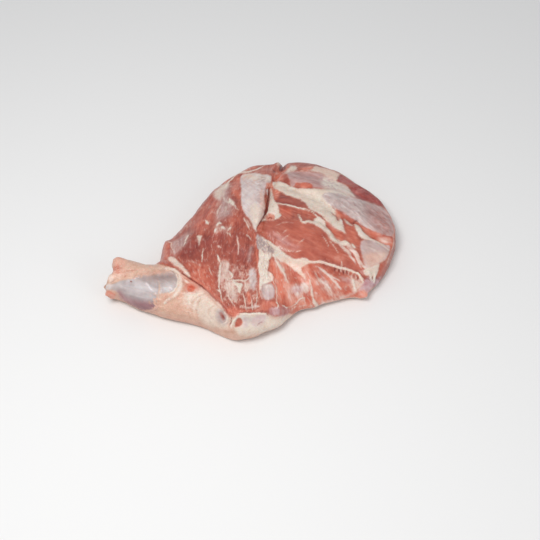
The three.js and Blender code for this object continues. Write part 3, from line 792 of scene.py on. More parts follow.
GRANULAR = [(350, 187), (359, 184), (367, 188), (376, 194), (384, 208), (372, 204), (357, 198)]
lay("lean", area(GRANULAR, 1.5), 0.9, 0.0, 0.05, -1.0)
dapple(GRANULAR, "lean", 1.8, 76, 0.7, 0.6, 0.4, -0.6)
PURPLE_SKIN = [(290, 173), (310, 172), (330, 178), (345, 186), (340, 192), (318, 187), (297, 182)]
dapple(PURPLE_SKIN, "plum", 4, 77, 0.5, 0.0, 0.3)
print(len(NICKS), "nicks cut, granular flesh and purple skin mottled")

# %% Cream fat band
FAT_BAND = [(272.7, 182.6), (282.6, 182.6), (290.5, 186.6), (299.4, 188.6), (311.3, 188.6), (323.2, 189.5),
            (332, 190.5), (339, 192.5), (349, 196.5), (345, 200), (334, 202), (336, 207), (339, 217),
            (342, 222),
            (345, 229), (347, 235), (342, 232), (335, 229), (329, 225), (326, 221), (319.2, 214.3),
            (309.3, 209.3),
            (305.4, 203.4), (296.5, 198.4), (286.6, 195.5), (279.7, 191.5), (273.7, 188.6)]
lay("fat", area(FAT_BAND, 0.9), 0.96, 1.0, -0.05 + 0.15 * wander(6, 41), 0.05 + 0.2 * wander(9, 42))
lay_all("cream fat band", [
    ("brown gap", "blood_and_shade", 0.75, 1, -1.2, 0.4, 0.5, 2.4, [(331.5, 206), (333.5, 208), (336, 210)]),
    ("brown gap", "blood_and_shade", 0.7, 1, -1.0, 0.4, 0.5, 2.2, [(331.5, 213), (334.5, 216)]),
    ("brown gap", "blood_and_shade", 0.8, 1, -1.2, 0.3, 0.4, 2.8, [(336, 215.5), (338.5, 221)]),
    ("brown gap", "blood_and_shade", 0.6, 1, -0.8, 0.4, 0.4, 2.4, [(341, 211.3), (344, 213.6)]),
    ("string of fat", "fat", 0.9, 0.8, 0.8, 0.3, 0, 1.8,
     [(333, 203), (336, 210), (339.5, 217), (344, 226)]),
    ("orange flesh", "lean", 0.7, 1.2, -0.3, 0.5, 0.9, None,
     [(334.5, 210), (338, 209.5), (341, 214), (340, 220), (336.5, 216)]),
    ("pinkish root", "lean", 0.35, 1.5, 0, 0.5, 0.2, 3.5, [(296, 201), (303, 205), (310, 211)]),
    ("triangle of fat", "fat", 0.93, 0.9, 0.6, 0.1, 0.1, None,
     [(271, 188.3), (273.2, 195), (274.4, 200.7), (278.2, 205.5), (279.1, 211.2), (281, 216), (277.2, 219),
      (273.4, 220), (269.6, 223.7), (263.8, 221.7), (263, 219), (266.2, 215), (268.1, 207.4),
      (269.6, 197.8)]),
    ("brown speck", "blood_and_shade", 0.6, 0.7, -0.6, 0.2, 0.3, 1.8, [(272.2, 206), (273.2, 207.5)]),
    ("pink mouth", "lean", 0.85, 1, -0.8, 0.6, 0.7, None,
     [(265.5, 216.5), (269.5, 213.5), (274.5, 215), (274.5, 219), (270, 221.5), (266, 220)]),
    ("slit of it", "blood_and_shade", 0.85, 0.6, -1.2, 0, 0.5, 1.6, [(267.5, 218.3), (270, 217.2), (272.5, 218)]),
    ("rim of the mouth", "fat", 0.8, 0.6, 0.6, 0.35, 0.1, 1.5, [(265, 215.5), (269.5, 212.5), (275, 214)]),
])

# %% [markdown]
# ## Blade side
# A broad band of striped silverskin crosses the far end, over red flesh that shows in
# gaps below it, and a second panel of skin closes the blade end.

# %% Silverskin band
BAND = [(322, 196), (329, 193.5), (339, 194.5), (349, 197.4), (357, 199.4), (363.7, 201), (371.6, 204.4),
        (378.5, 206.8), (384.4, 209.3), (388.4, 214.3), (391.4, 219.2), (393.3, 226), (392.3, 235),
        (383.5, 234),
        (373.6, 231), (365.7, 228), (361.7, 225), (357, 221.2), (349, 216.2), (342, 211.3), (336, 208.3),
        (332, 206.3), (326, 201.4)]
lay_all("silverskin band", [
    ("red gap", "lean", 0.9, 1.5, -0.5, 0.0, 0.2, None,
     [(340, 211), (347, 213), (354, 217), (360, 222), (357, 225), (350, 224), (344, 219)]),
    ("red gap", "lean", 0.92, 1.5, -0.5, 0.1, 0.55, None,
     [(344, 222), (352, 224), (356, 230), (357, 238), (362, 246), (356, 248), (350, 243), (346, 236),
      (344, 229)]),
    ("cream lumps", "fat", 0.8, 1, 0.5, 0, 0.1, 3, [(344, 219), (347, 222), (352, 225)]),
    ("band", "silver", 0.95, 1, 0.6, 0.15, 0.15, None, BAND),
    ("grey oval in it", "silver", 0.9, 2, -0.3, -0.25, -0.1, None,
     [(326, 194.5), (333, 193.5), (340, 196), (339, 200), (331, 200.5), (326, 198)]),
    ("pink end of it", "silver", 0.9, 4, 0, -0.4, 1, None,
     [(366, 205), (378, 207), (386, 211), (392, 220), (392, 234), (380, 232), (370, 222)]),
    ("flesh through it", "lean", 0.35, 4, 0, 0, 0.3, None,
     [(374, 209), (384, 212), (391, 221), (391, 232), (382, 230), (375, 220)]),
    ("orange rim", "lean", 0.6, 1.5, 0, 0.45, 0.6, 3, [(384, 208.5), (390, 217), (394.3, 228), (393, 245)]),
    ("red under the band", "lean", 0.95, 1.1, 0, 0.25, 0.75, None,
     [(361, 226.5), (368.6, 229), (373.6, 231.5), (383.5, 235.5), (392, 239), (392.3, 245), (388.4, 246),
      (381.5, 243), (375.5, 240), (368.6, 236), (364, 232)]),
    ("bright red", "lean", 0.8, 1.2, 0, 0.2, 1, 4, [(366, 231), (372, 235)]),
    ("pale flesh", "veil", 0.6, 2.5, 0, 0.5, 0.5, None,
     [(378, 235), (388, 238), (392, 243), (384, 243), (377, 239)]),
    ("hook of fat", "fat", 0.93, 0.9, 1, 0.15, 0.1, None,
     [(354, 224.5), (359.7, 227), (363.7, 233), (368.6, 237), (375.5, 241), (379, 243), (366.6, 240.6),
      (360.7, 237.5), (357, 232)]),
    # The dark in the hole by the hook is painted shade.
    ("hole by the hook", "blood_and_shade", 0.9, 0.8, -1.8, 0, 0, 2,
     [(353.5, 223.5), (355.5, 221.2), (358.5, 221.8)]),
])
FAT_BRANCH = [(268, 184), (290, 190), (312, 204), (324, 214), (340, 226), (326, 221), (305, 206),
              (284, 194)]
dapple(BAND, "silver", 3.5, 81, 0.7, 0.0, -0.2, 0.4)
dapple(FAT_BRANCH, "lean", 3, 82, 0.35, 0.0, 0.6, 0.3)
print("silverskin and the branch of fat mottled")

# %% Right panel and the blade end
lay_all("blade end", [
    ("right panel", "silver", 0.9, 1, 0.3, 0.25, 0.45, None,
     [(361.7, 241), (373.6, 241), (382.5, 244), (390.4, 246.4), (389, 253), (386, 259), (378, 263.7),
      (371, 266.6),
      (367.6, 269.6), (364.7, 265.7), (362.7, 257), (360.7, 249)]),
    ("peach lower half", "peach", 0.6, 3, 0, 0.35, 0.5, None,
     [(363, 254), (374, 252), (388, 252), (385, 260), (377, 265), (368, 269), (365, 264)]),
    ("pale fold across", "fat", 0.75, 1, 0.6, 0.3, 0.1, 2.4,
     [(370, 240), (378, 243), (384, 247), (390, 251)]),
    ("scratch on it", "fat", 0.5, 0.7, 0.2, 0.2, 0.1, 1.5, [(366, 247), (374, 250), (383, 256)]),
    ("rim line", "fat", 0.6, 0.9, 0.2, 0.1, 0.5, 1.6,
     [(393, 232), (393.6, 242), (391, 252), (387, 262), (381, 271), (377, 283)]),
    ("rim flesh", "lean", 0.6, 1.5, 0, 0.35, 0.5, 3,
     [(391, 245), (389, 256), (384, 266), (380, 274), (377, 284)]),
    ("red patch", "lean", 0.95, 0.9, -0.4, 0.05, 0.5, None,
     [(377.5, 268), (381, 264), (386, 263), (385, 270), (380, 276), (376.5, 275)]),
    ("plum tongue", "plum", 0.75, 1.2, 0.3, 0.4, 0, None,
     [(362.7, 282), (368, 277), (374, 279), (381, 276), (381, 279), (377.4, 284.5), (373.4, 288),
      (370, 290),
      (366.7, 295), (363.7, 297), (360.6, 295), (358.6, 291)]),
    ("red tip", "lean", 0.8, 1.4, 0, 0.35, 0.6, None, [(360, 291), (366, 291), (366, 296.5), (361, 296)]),
    ("fat round the tags", "fat", 0.9, 1, 0.8, 0.1, 0.2, None,
     [(364, 270), (368, 268), (373, 266), (379, 264), (378.5, 270), (376, 276), (372, 278), (369, 276),
      (365, 275)]),
    # The dark under the tags and the dark slot between them are painted shade.
    ("dark under the tags", "blood_and_shade", 0.7, 1, -1, 0, 0.2, 2, [(364, 278), (368, 279), (372, 281)]),
    ("tag", "fat", 0.95, 0.7, 1.5, 0.25, 0, 2.4, [(357.6, 272.4), (360, 277), (363, 282)]),
    ("tag", "fat", 0.95, 0.7, 1.5, 0.25, 0, 2.2, [(368.3, 271), (370, 276), (371.5, 281)]),
    ("tag", "fat", 0.95, 0.7, 1.5, 0.25, 0, 2.4, [(374.6, 272), (374, 278), (373.4, 283)]),
    # painted shade between two tags
    ("dark slot", "blood_and_shade", 0.9, 0.5, -1.6, 0, 0, 1.2, [(372, 276), (372.5, 279.5)]),
])

# %% [markdown]
# ## Oval muscle
# The largest bare muscle, with fine fibres along it. A ragged white line crosses its far
# side, a white seam its near side, with a row of dark holes where strings of skin pull
# the seam open.

# %% Oval muscle
OVAL = [(257, 228), (260, 224), (265, 221), (272.7, 221), (280, 219.7), (289.5, 219.2), (299.4, 221.2),
        (309.3, 222.7), (318.2, 225), (325, 231), (331, 237), (337, 243), (345, 249), (353, 255),
        (360, 260.7),
        (364, 269), (354.8, 269), (345, 266), (335, 263), (325, 259), (317.2, 260), (309.3, 258.9),
        (301.4, 258.9),
        (292.5, 257), (284.6, 254), (277.7, 249), (269.8, 243), (262.8, 236)]
SEAM = [(299.4, 259.7), (305.4, 258.9), (311.3, 262), (319.2, 261.8), (327, 263.7), (336, 266.6),
        (345, 268.6),
        (353, 271.6), (358.7, 274.6), (363, 279)]
FAR_LINE = [(298.4, 214.3), (300.4, 219.2), (303.4, 223), (308.3, 221.7), (313.3, 223), (318.2, 225),
            (323.2, 228),
            (328, 232), (332, 238), (336, 242), (342, 244), (348, 244)]
lay("lean", area(OVAL, 0.9), 0.95, 0.3, 0.05 + 0.1 * wander(14, 51), 0.3 + 0.2 * wander(18, 52))
shade([(258, 226), (270, 221), (288, 221), (290, 240), (276, 244), (264, 238)], 5, 0.02, -0.25)
lay_all("oval muscle", [
    ("red right of the line", "lean", 0.8, 1.5, 0, 0.05, 0.6, None,
     [(327, 222), (334, 228), (342, 233), (348, 238), (346, 242), (338, 240), (332, 233)]),
    ("flesh between", "lean", 0.7, 1.5, 0, 0.1, 0.4, None,
     [(340, 246), (350, 250), (358, 260), (362, 268), (354, 264), (346, 256)]),
    ("far line", "fat", 0.9, 1.1, 0.8, 0.05, 0.15, 3.4, FAR_LINE),
    ("lump on it", "fat", 0.92, 1, 0.9, 0.15, 0.1, None,
     [(313.5, 219.5), (318, 217.5), (322.5, 219.5), (325.5, 224), (324, 230), (319.5, 227.5), (315, 225)]),
    ("wide part", "fat", 0.85, 1.6, 0.5, 0, 0.2, 6, [(319, 225), (327, 231), (334, 240), (345, 245)]),
    ("fan of streaks", "veil", 0.85, 1.1, 0.3, 0.4, 0, 2.4, [(338, 243), (348, 252), (356, 264)]),
    ("fan of streaks", "veil", 0.85, 1.1, 0.3, 0.4, 0, 2.4, [(347, 247), (355, 255), (361, 268)]),
    ("knots on it", "fat", 0.9, 0.9, 0.8, 0.25, 0.1, 2.4, [(303, 222.7), (306, 222.2)]),
    ("knots on it", "fat", 0.9, 0.9, 0.8, 0.25, 0.1, 2.8, [(327, 230), (329.5, 233.5)]),
    ("knots on it", "fat", 0.9, 0.9, 0.8, 0.2, 0.1, 2.6, [(333, 239), (336, 241.5)]),
    ("lump on it", "fat", 0.92, 1, 0.8, 0.15, 0.1, 5, [(340, 244), (345, 242.5), (350, 246)]),
    ("lump on it", "fat", 0.9, 1, 0.5, 0.15, 0.1, 3, [(352, 244), (355, 248)]),
    ("fading line", "veil", 0.9, 1.1, 0.4, 0.3, 0.1, 4,
     [(347, 245), (352, 249), (357, 255), (360, 262), (365, 268)]),
    ("white streaks", "veil", 0.8, 1.2, 0.2, 0.3, 0.1, 3, [(338, 244), (346, 251), (354, 260)]),
    ("inner line", "fat", 0.6, 0.6, 0.3, 0.1, 0.3, 1.2, [(322.2, 235), (326, 241), (329, 248)]),
    ("inner line", "fat", 0.6, 0.6, 0.3, 0.1, 0.3, 1.2, [(329, 241), (335, 248), (338, 253)]),
    ("scratch", "fat", 0.5, 0.5, 0.1, 0.1, 0.3, 0.9, [(275.7, 232), (280.6, 235)]),
    ("scratch", "fat", 0.55, 0.5, 0.1, 0.1, 0.3, 0.9, [(280.6, 240), (284, 238.5), (288.6, 235)]),
    ("scratch", "fat", 0.6, 0.5, 0.1, 0.1, 0.3, 1.0, [(282.5, 232.3), (286, 231)]),
    ("scratch", "fat", 0.55, 0.5, 0.1, 0.1, 0.3, 0.9, [(298.4, 243), (301, 241.5), (304.4, 239)]),
    ("scratch", "fat", 0.4, 0.5, 0.1, 0.1, 0.3, 0.9, [(276, 226), (284, 222.5), (294, 223)]),
    ("creamy line", "fat", 0.75, 0.6, 0.3, 0.1, 0.2, 1.2,
     [(279, 246.5), (284.6, 248.4), (288, 250.8), (293.5, 251.3), (300, 250.8), (305.4, 251.8)]),
    ("seam", "fat", 0.92, 0.9, 0.8, 0.2, 0.1, 3.2, SEAM),
    ("spike on the seam", "fat", 0.8, 0.7, 0.5, 0.2, 0.2, 1.4, [(341.8, 261.5), (342, 267)]),
])

# %% [markdown]
# ## Middle and near edge
# A grey patch of gristle and a wide white tendon start under the sheet's edge. The white
# tissue runs down to a button of cartilage, and ragged ends of muscle close the edge.

# %% White tissue in the middle
lay_all("white tissue", [
    ("grey gristle", "silver", 0.97, 1.1, 0, -0.3, 0.15, None,
     [(257, 234), (261.3, 237.7), (271.8, 245.3), (276, 250), (271.8, 253.5), (269, 252.5), (262.3, 251),
      (257.5, 249), (256.5, 242.4)]),
    ("tendon", "fat", 0.96, 1, 0.5, 0.0, 0, None,
     [(262.3, 237.7), (275.7, 245.3), (284.3, 253), (294.8, 258.7), (306.3, 259.7), (313, 262.5),
      (306, 265),
      (301.5, 269), (304, 274), (305.5, 279.5), (300, 275), (293, 269), (285.2, 263.5), (275.7, 258.7),
      (271.8, 255), (274.7, 250), (268, 244)]),
    ("white strip", "fat", 0.96, 0.9, 0.7, 0.1, 0, None,
     [(259.5, 249), (264, 252.5), (267, 251.5), (270.5, 253), (271, 257), (268.5, 261), (269, 266),
      (267.5, 270.5),
      (271.5, 273.5), (273.5, 278), (271.5, 281.5), (267, 283), (262.8, 286), (260.5, 290), (259, 283),
      (259.8, 276), (258, 269), (259, 260)]),
    ("pink beside it", "lean", 0.35, 1.6, 0, 0.6, 0.4, 2.4, [(272, 258), (270, 265), (271, 271)]),
    ("crack", "blood_and_shade", 0.35, 0.6, -0.7, 0.2, 0.2, 1.1,
     [(265, 253.9), (263.2, 261.6), (266, 268.3), (264.2, 276)]),
    ("crack", "blood_and_shade", 0.35, 0.6, -0.6, 0.2, 0.2, 1.1, [(269, 253), (269.9, 258)]),
    ("crack", "blood_and_shade", 0.3, 0.6, -0.5, 0.2, 0.2, 1.0, [(266, 268), (268.5, 272), (268, 278)]),
    ("knobs", "fat", 0.95, 0.7, 1.2, 0.3, 0, 2.4, [(269.5, 273), (272, 275.5), (273.8, 279)]),
    ("cartilage", "silver", 0.85, 1.8, 1.0, 0.25, 0.15, None,
     [(261, 292), (262.5, 286.5), (267.5, 283.5), (273, 285.5), (275.5, 291.5), (273.5, 297.5),
      (268, 300.5),
      (263, 298)]),
    ("lilac of it", "plum", 0.3, 2.5, 0, 0.5, 0, None,
     [(264, 292), (270, 290), (274, 293), (272, 298), (266, 299)]),
    ("its cream edge", "fat", 0.5, 1, 0.3, 0.1, 0.1, 2, [(260, 284), (259.5, 292), (262, 299)]),
    # A painted highlight on the cartilage, laid as a pale stroke of fat.
    ("painted glint on it", "fat", 0.5, 1.5, 0.4, 0.5, -0.1, 3, [(264, 287), (268.5, 285.5), (272, 288)]),
])
GRISTLE = [(257, 234), (261.3, 237.7), (271.8, 245.3), (276, 250), (269, 252.5), (262.3, 251),
           (256.5, 242.4)]
dapple(GRISTLE, "fat", 2.2, 71, 0.75, 0.4, 0.0, 0.1)
dapple(GRISTLE, "blood_and_shade", 1.8, 72, 0.3, -0.4, 0.3, 0.2)
WHITE_STRIP = [(260, 250), (272, 252), (270, 268), (274, 280), (262, 284), (259, 268)]
TENDON = [(276, 248), (296, 260), (312, 262), (302, 272), (284, 262)]
dapple(WHITE_STRIP, "silver", 3, 73, 0.5, -0.3, 0.1, 0.5)
dapple(TENDON, "lean", 5, 74, 0.2, -0.2, 0.6, 0.4)
print("gristle, strip and tendon mottled")

# %% Near muscles
NEAR_SIDE = [(274, 262), (305, 262), (336, 268), (360, 280), (368, 300), (300, 312), (276, 306)]
# The near side is lightened with painted light, where its faces turn to the lamp, and made warmer in colour.
shade(NEAR_SIDE, 4, 0.22, 0.7)
lay_all("near muscles", [
    ("red muscle", "lean", 1.0, 2, 0, 0.35, 1, None,
     [(272, 262), (280, 270), (284, 280), (285, 295), (282, 303), (277, 296), (275, 284), (272, 274)]),
    ("left edge line", "fat", 0.7, 0.7, 0.4, 0.1, 0.4, 1.4,
     [(272, 279), (275.5, 286), (276.5, 294), (277, 303)]),
    ("branch", "veil", 0.7, 1.6, 0.3, 0.5, 0.1, 5, [(275, 259), (279.5, 266), (284, 273), (286.5, 280)]),
    ("branch", "fat", 0.85, 1, 0.7, 0.15, 0.2, 2.6, [(274.7, 259), (279, 266), (283.5, 273), (287.3, 283)]),
    ("dot", "fat", 0.95, 0.7, 0.7, 0.4, 0.1, 1.8, [(295.2, 284.3), (296.4, 284.7)]),
    ("shaded lean", "lean", 0.6, 2.5, 0, 0.15, 0.3, None,
     [(286, 268), (296, 274), (303, 282), (298, 286), (288, 280)]),
    ("pink lean", "lean", 0.7, 3, 0, 0.65, 0.6, None,
     [(286, 284), (296, 286), (303, 294), (302, 304), (292, 306), (285, 298)]),
    ("soft white", "veil", 0.45, 2.5, 0.1, 0.5, 0, None,
     [(289, 288), (299, 283), (306, 288), (303, 296), (294, 297), (289, 294)]),
    ("soft white", "veil", 0.35, 2.5, 0.1, 0.4, 0.1, None,
     [(316, 276), (326, 280), (338, 288), (344, 294), (334, 298), (322, 292), (315, 284)]),
    ("lilac streaks", "plum", 0.4, 1.8, 0.2, 0.9, 0, None,
     [(291, 287), (298, 285), (304, 287), (302, 292), (294, 294)]),
    ("white patch", "veil", 0.95, 1.4, 0.4, 0.4, 0, None,
     [(302, 283), (307, 284), (309, 291), (306, 294), (303, 289)]),
    ("white stripe", "fat", 0.85, 1, 0.7, 0.1, 0.1, 2.4,
     [(309.5, 280), (311.3, 288), (312.5, 297), (315.5, 306)]),
    ("its foot", "fat", 0.85, 1, 0.5, 0.1, 0.2, 4.5, [(313, 299), (315, 303), (318, 306)]),
    ("pale streak", "veil", 0.95, 0.9, 0.4, 0.4, 0.1, 2.6,
     [(316, 266), (326, 273), (335, 282), (341, 289)]),
    ("pale streak", "veil", 0.9, 0.9, 0.3, 0.4, -0.1, 2.2, [(314, 272), (320, 280), (330, 288)]),
    ("pale streak", "veil", 0.85, 0.9, 0.3, 0.4, -0.1, 2, [(321, 269), (330, 275), (340, 281)]),
    ("lilac streak", "plum", 0.4, 1.1, 0.1, 0.8, 0, 3, [(318, 268), (323, 278), (333, 291)]),
    ("pale streak", "fat", 0.6, 0.8, 0.3, 0.2, 0.1, 1.4, [(326, 281), (330, 290), (333, 298)]),
    ("lean, dark", "lean", 0.7, 1.5, -0.3, -0.1, 0.1, None,
     [(326, 266), (336, 269), (346, 274), (352, 280), (344, 282), (334, 275)]),
    ("lilac by the holes", "plum", 0.35, 1.5, 0, 0.7, 0, None,
     [(340, 276), (348, 277), (354, 281), (350, 285), (342, 281)]),
    ("white corner", "fat", 0.6, 2.4, 0.5, 0.15, 0, None,
     [(351, 277), (357, 279), (363, 281.5), (361, 288), (355, 293), (351, 287)]),
    ("white corner's edge", "fat", 0.9, 1, 0.5, 0.3, 0, 2.2, [(352.5, 279), (354, 285), (355, 291)]),
    ("pink near edge", "veil", 0.5, 2, 0, 0.4, 0.4, 4, [(322, 303), (334, 300), (346, 296), (356, 292)]),
])
dapple(NEAR_SIDE, "veil", 5, 75, 0.2, 0.2, 0.6, 0.1)

# %% Row of holes under the seam
# Pixel place of each hole's top, and how dark it is painted; the dark in each hole is painted shade.
HOLES = ((335, 268.3, 0.9), (339, 269.3, 0.9), (343, 270.4, 0.9), (346.5, 271.6, 0.7), (350, 274, 0.45),
         (353.8, 275.5, 0.45), (357.5, 277.5, 0.7))
for u, v, dark in HOLES:
    lay("blood_and_shade", strand([(u, v), (u + 0.4, v + 3.2)], 1.7, 0.7), dark, -1.4, -0.2, -0.1)
    lay("fat", strand([(u + 2, v - 0.5), (u + 2.2, v + 3)], 1.2, 0.7), 0.6, 0.5, 0.2, 0.1)
print(len(HOLES), "holes, each with a string of skin beside it")

# %% Ragged ends of muscle
lay_all("ragged ends", [
    ("lump", "lean", 0.8, 1.2, 0.4, 0.3, 0.6, None,
     [(262, 302), (270, 301), (276, 304), (272, 309), (264, 311), (261, 308)]),
    ("lilac lump", "plum", 0.6, 1.2, 0.6, 0.7, 0, None,
     [(269, 308), (276, 307), (279, 312), (274, 316), (269, 314)]),
    ("pink lump", "plum", 0.45, 1.3, 0.6, 0.6, 0, None,
     [(278, 306), (287, 307), (290, 311), (285, 316), (278, 317)]),
    ("curl", "fat", 0.85, 0.7, 0.6, 0.3, 0.1, 1.6, [(276, 302.5), (278, 305), (276.5, 308)]),
    ("curl", "fat", 0.85, 0.7, 0.6, 0.3, 0.1, 1.6, [(282, 305), (285, 307), (289, 307)]),
    ("dark nick", "blood_and_shade", 0.7, 0.7, -0.8, 0, 0, 1.3, [(272, 306), (274.5, 307)]),
    ("dark nick", "blood_and_shade", 0.6, 0.7, -0.8, 0, 0, 1.3, [(266, 313), (269, 315.5)]),
    ("creamy outline", "fat", 0.85, 0.8, 0.6, 0.1, 0.2, 2,
     [(290, 307), (295, 304), (300, 299), (304, 298), (305, 303)]),
    ("pale edge", "fat", 0.7, 0.8, 0.3, 0.1, 0.4, 1.4,
     [(290, 310), (294, 307.5), (302, 305.5), (312, 306)]),
])

# %% [markdown]
# ## Fibres and wisps
# Fibres show plainly in lean and in striped silverskin, hardly in fat. Torn wisps of pale
# skin cling where a sheet was pulled off. How strong both are is kept at each point, so
# that one material can serve the whole piece.

# %% Outline of the breast sheet
SHEET = [(155, 262), (160, 235), (180, 225), (210, 190), (232, 172), (243, 176), (241, 199), (251, 222),
         (256, 236),
         (257, 254), (260, 270), (260, 300), (262, 312), (240, 313), (229, 315), (220, 304), (205, 289),
         (190, 279),
         (172, 267)]
print(f"the sheet covers {100 * float(area(SHEET).mean()):.0f}% of the skin's points")

# %% Where fibres show, and where wisps of skin stick to the lean
WINDOW = [(112, 284), (130, 276), (160, 273), (178, 276), (172, 293), (156, 308), (138, 311), (120, 296)]
comb(WINDOW, 2, 0.15)
comb(OVAL, 3, 0.35)
comb(FAT_BAND, 2, 0.3)
comb(BAND, 2, 1.0)
wisps = 0.25 * np.ones(count)
CLINGING = ((SHEET, 0.7), (OVAL, 0.15), (NEAR_SIDE, 0.9), (FAT_BAND, 0.1), (SHANK_FAT, 0.1),
            (GRANULAR, 0.0))
for outline, amount in CLINGING:
    wisps += (amount - wisps) * area(outline, 3)
print("mean fibre strength", round(float(fibre.mean()), 2), "and wisps", round(float(wisps.mean()), 2))

# %% [markdown]
# ## Working the relief in
# The heights collected so far move the points along their normals. A finer unevenness
# is added on top: strings along the fibres in the lean, soft lumps in the fat.

# %% Nubs and dents of the torn edges
def under(u, v, height):
    """The place in metres that a pixel shows, at that height in mm."""
    ray = FOCAL_PX * AHEAD + (u - PICTURE / 2) * RIGHT - (v - PICTURE / 2) * UP
    return np.array(CAMERA_AT) + ray * (height * MM - CAMERA_AT.z) / ray[2]


# Pixel place, height in mm, width in mm, and how far it stands out in mm
NUBS = (
    (111, 266, 30, 6, 2), (114, 272.5, 30, 5, -4), (110, 278, 28, 4, 3), (105, 287, 26, 4.5, 4),
    (107, 294, 22, 4.5, 3), (164.5, 239, 22, 4.5, 6), (365, 295, 12, 6, 4),
    (371, 287, 10, 6, -3),
)
nubs = np.zeros_like(points)
for u, v, height, width, reach in NUBS:
    gap = np.linalg.norm(points - under(u, v, height), axis=1) / MM
    hump = np.exp(-2 * (gap / width) ** 2)
    outwards = (normals * hump[:, None]).sum(0)
    nubs += hump[:, None] * outwards / np.linalg.norm(outwards) * reach * MM
    print(f"nub at {u}, {v}: nearest point of the skin {gap.min():.1f} mm off")

# %% Relief
lean_share = np.clip(1 - sum(share.values()), 0, 1)
lumps = wander(4.5, 61) * (share["fat"] + share["peach"]) * 0.35 + wander(8, 62) * 0.3
upright = ease(normals[:, 2], -0.9, -0.4)
moved = points + normals * ((relief + lumps) * upright * MM)[:, None] + nubs
flat_foot = points[:, 2] < 0.8 * MM
moved[flat_foot] = points[flat_foot]
moved[:, 2] = np.maximum(moved[:, 2], 0.0)
skin_mesh.vertices.foreach_set("co", moved.ravel())
skin_mesh.update()
shift = (moved - points)[:, 2] / MM
print(f"points moved by {shift.min():.1f} to {shift.max():.1f} mm in height")

# %% [markdown]
# ## Which way the fibres run
# Muscle is made of strings, so the pattern needs a direction. Each muscle gets its own
# pair of lengths, across and along its fibres, kept in a UV map that may jump from one
# muscle to the next. Fans are measured round a pole, the sheet between two poles.

# %% Grain map
def fan(at, pole, radius):
    """Fibres that run away from a pole: across at that radius, and along, in mm."""
    to = at - np.array(pole)
    r = np.hypot(*to.T)
    return np.arctan2(to[:, 1], to[:, 0]) * radius / PX_PER_MM, r / PX_PER_MM


def onion(at, low, high):
    """Fibres that run between two poles, like the lines on an onion."""
    to_low, to_high = at - np.array(low), at - np.array(high)
    r_low, r_high = np.hypot(*to_low.T) + 1e-6, np.hypot(*to_high.T) + 1e-6
    cross = to_low[:, 0] * to_high[:, 1] - to_low[:, 1] * to_high[:, 0]
    turn = np.arctan2(cross, (to_low * to_high).sum(1))
    half = np.hypot(*(np.array(low) - np.array(high))) / 2
    return (turn % (2 * math.pi)) * half / 2 / PX_PER_MM, np.log(r_low / r_high) * half / PX_PER_MM


def straight(at, degrees):
    """Fibres at one slope in the picture, degrees down to the right."""
    c, s = math.cos(math.radians(degrees)), math.sin(math.radians(degrees))
    return (-s * at[:, 0] + c * at[:, 1]) / PX_PER_MM, (c * at[:, 0] + s * at[:, 1]) / PX_PER_MM


SHEET_POLES = ((232, 324), (262, 155))     # pixels where the fibres of each muscle meet
OVAL_POLE = (110, 168)
NEAR_POLE = (262, 200)
NECK_SKIN = (285, 200)                     # right of that pixel column and above that row
corners = len(skin_mesh.loops)
corner_point = np.empty(corners, int)
skin_mesh.loops.foreach_get("vertex_index", corner_point)
face_of = np.repeat(np.arange(len(skin_mesh.polygons)), [p.loop_total for p in skin_mesh.polygons])
first = np.array([p.vertices[0] for p in skin_mesh.polygons])
at = in_picture(points)[corner_point]
in_mm = points[corner_point] / MM
across, along = fan(at, NEAR_POLE, 60)


def use(where, grain):
    chosen = where[first][face_of]
    across[chosen] = grain[0][chosen]
    along[chosen] = grain[1][chosen]


use(area(SHANK_FAT, 1) > 0.5, straight(at, 18))
use(area(SHEET, 1) > 0.5, onion(at, *SHEET_POLES))
use(area(PANEL, 1) > 0.5, straight(at, 38))
use(area(OVAL, 1) > 0.5, fan(at, OVAL_POLE, 220))
use(area(BAND, 1) > 0.5, straight(at, 40))
neck_skin = (share["silver"] > 0.4) & (pixels[:, 0] > NECK_SKIN[0]) & (pixels[:, 1] < NECK_SKIN[1])
use(neck_skin, straight(at, 18))
RIM_RADIUS = 130                           # mm, turns the angle round the piece into a length
use(seen < 0.3, (in_mm[:, 2], np.arctan2(in_mm[:, 1], in_mm[:, 0]) * RIM_RADIUS))

grain = skin_mesh.uv_layers.new(name="Grain")
grain.data.foreach_set("uv", np.stack([across, along], axis=1).astype(np.float32).ravel())
skin_mesh.uv_layers.active = grain
print("grain runs", [round(float(x)) for x in (across.min(), across.max(), along.min(), along.max())])

# %% Shares kept with the points
properties = {**share, "bright": bright, "warm": warm, "fibre": fibre, "wisps": wisps}
for name, values in properties.items():
    kept = skin_mesh.attributes.new(name, "FLOAT", "POINT")
    kept.data.foreach_set("value", np.clip(values, -1, 1).astype(np.float32))
print("kept with each point:", ", ".join(properties))

# %% [markdown]
# ## Raw lamb, the material
# Lean meat is a bundle of pink-red fibres about a millimetre wide, wet enough to shine
# softly. Each tissue has its own colours, and its share is broken up along the fibres, so
# that edges of fat end in strings. Fat is nearly matt, silverskin is smooth and shines.

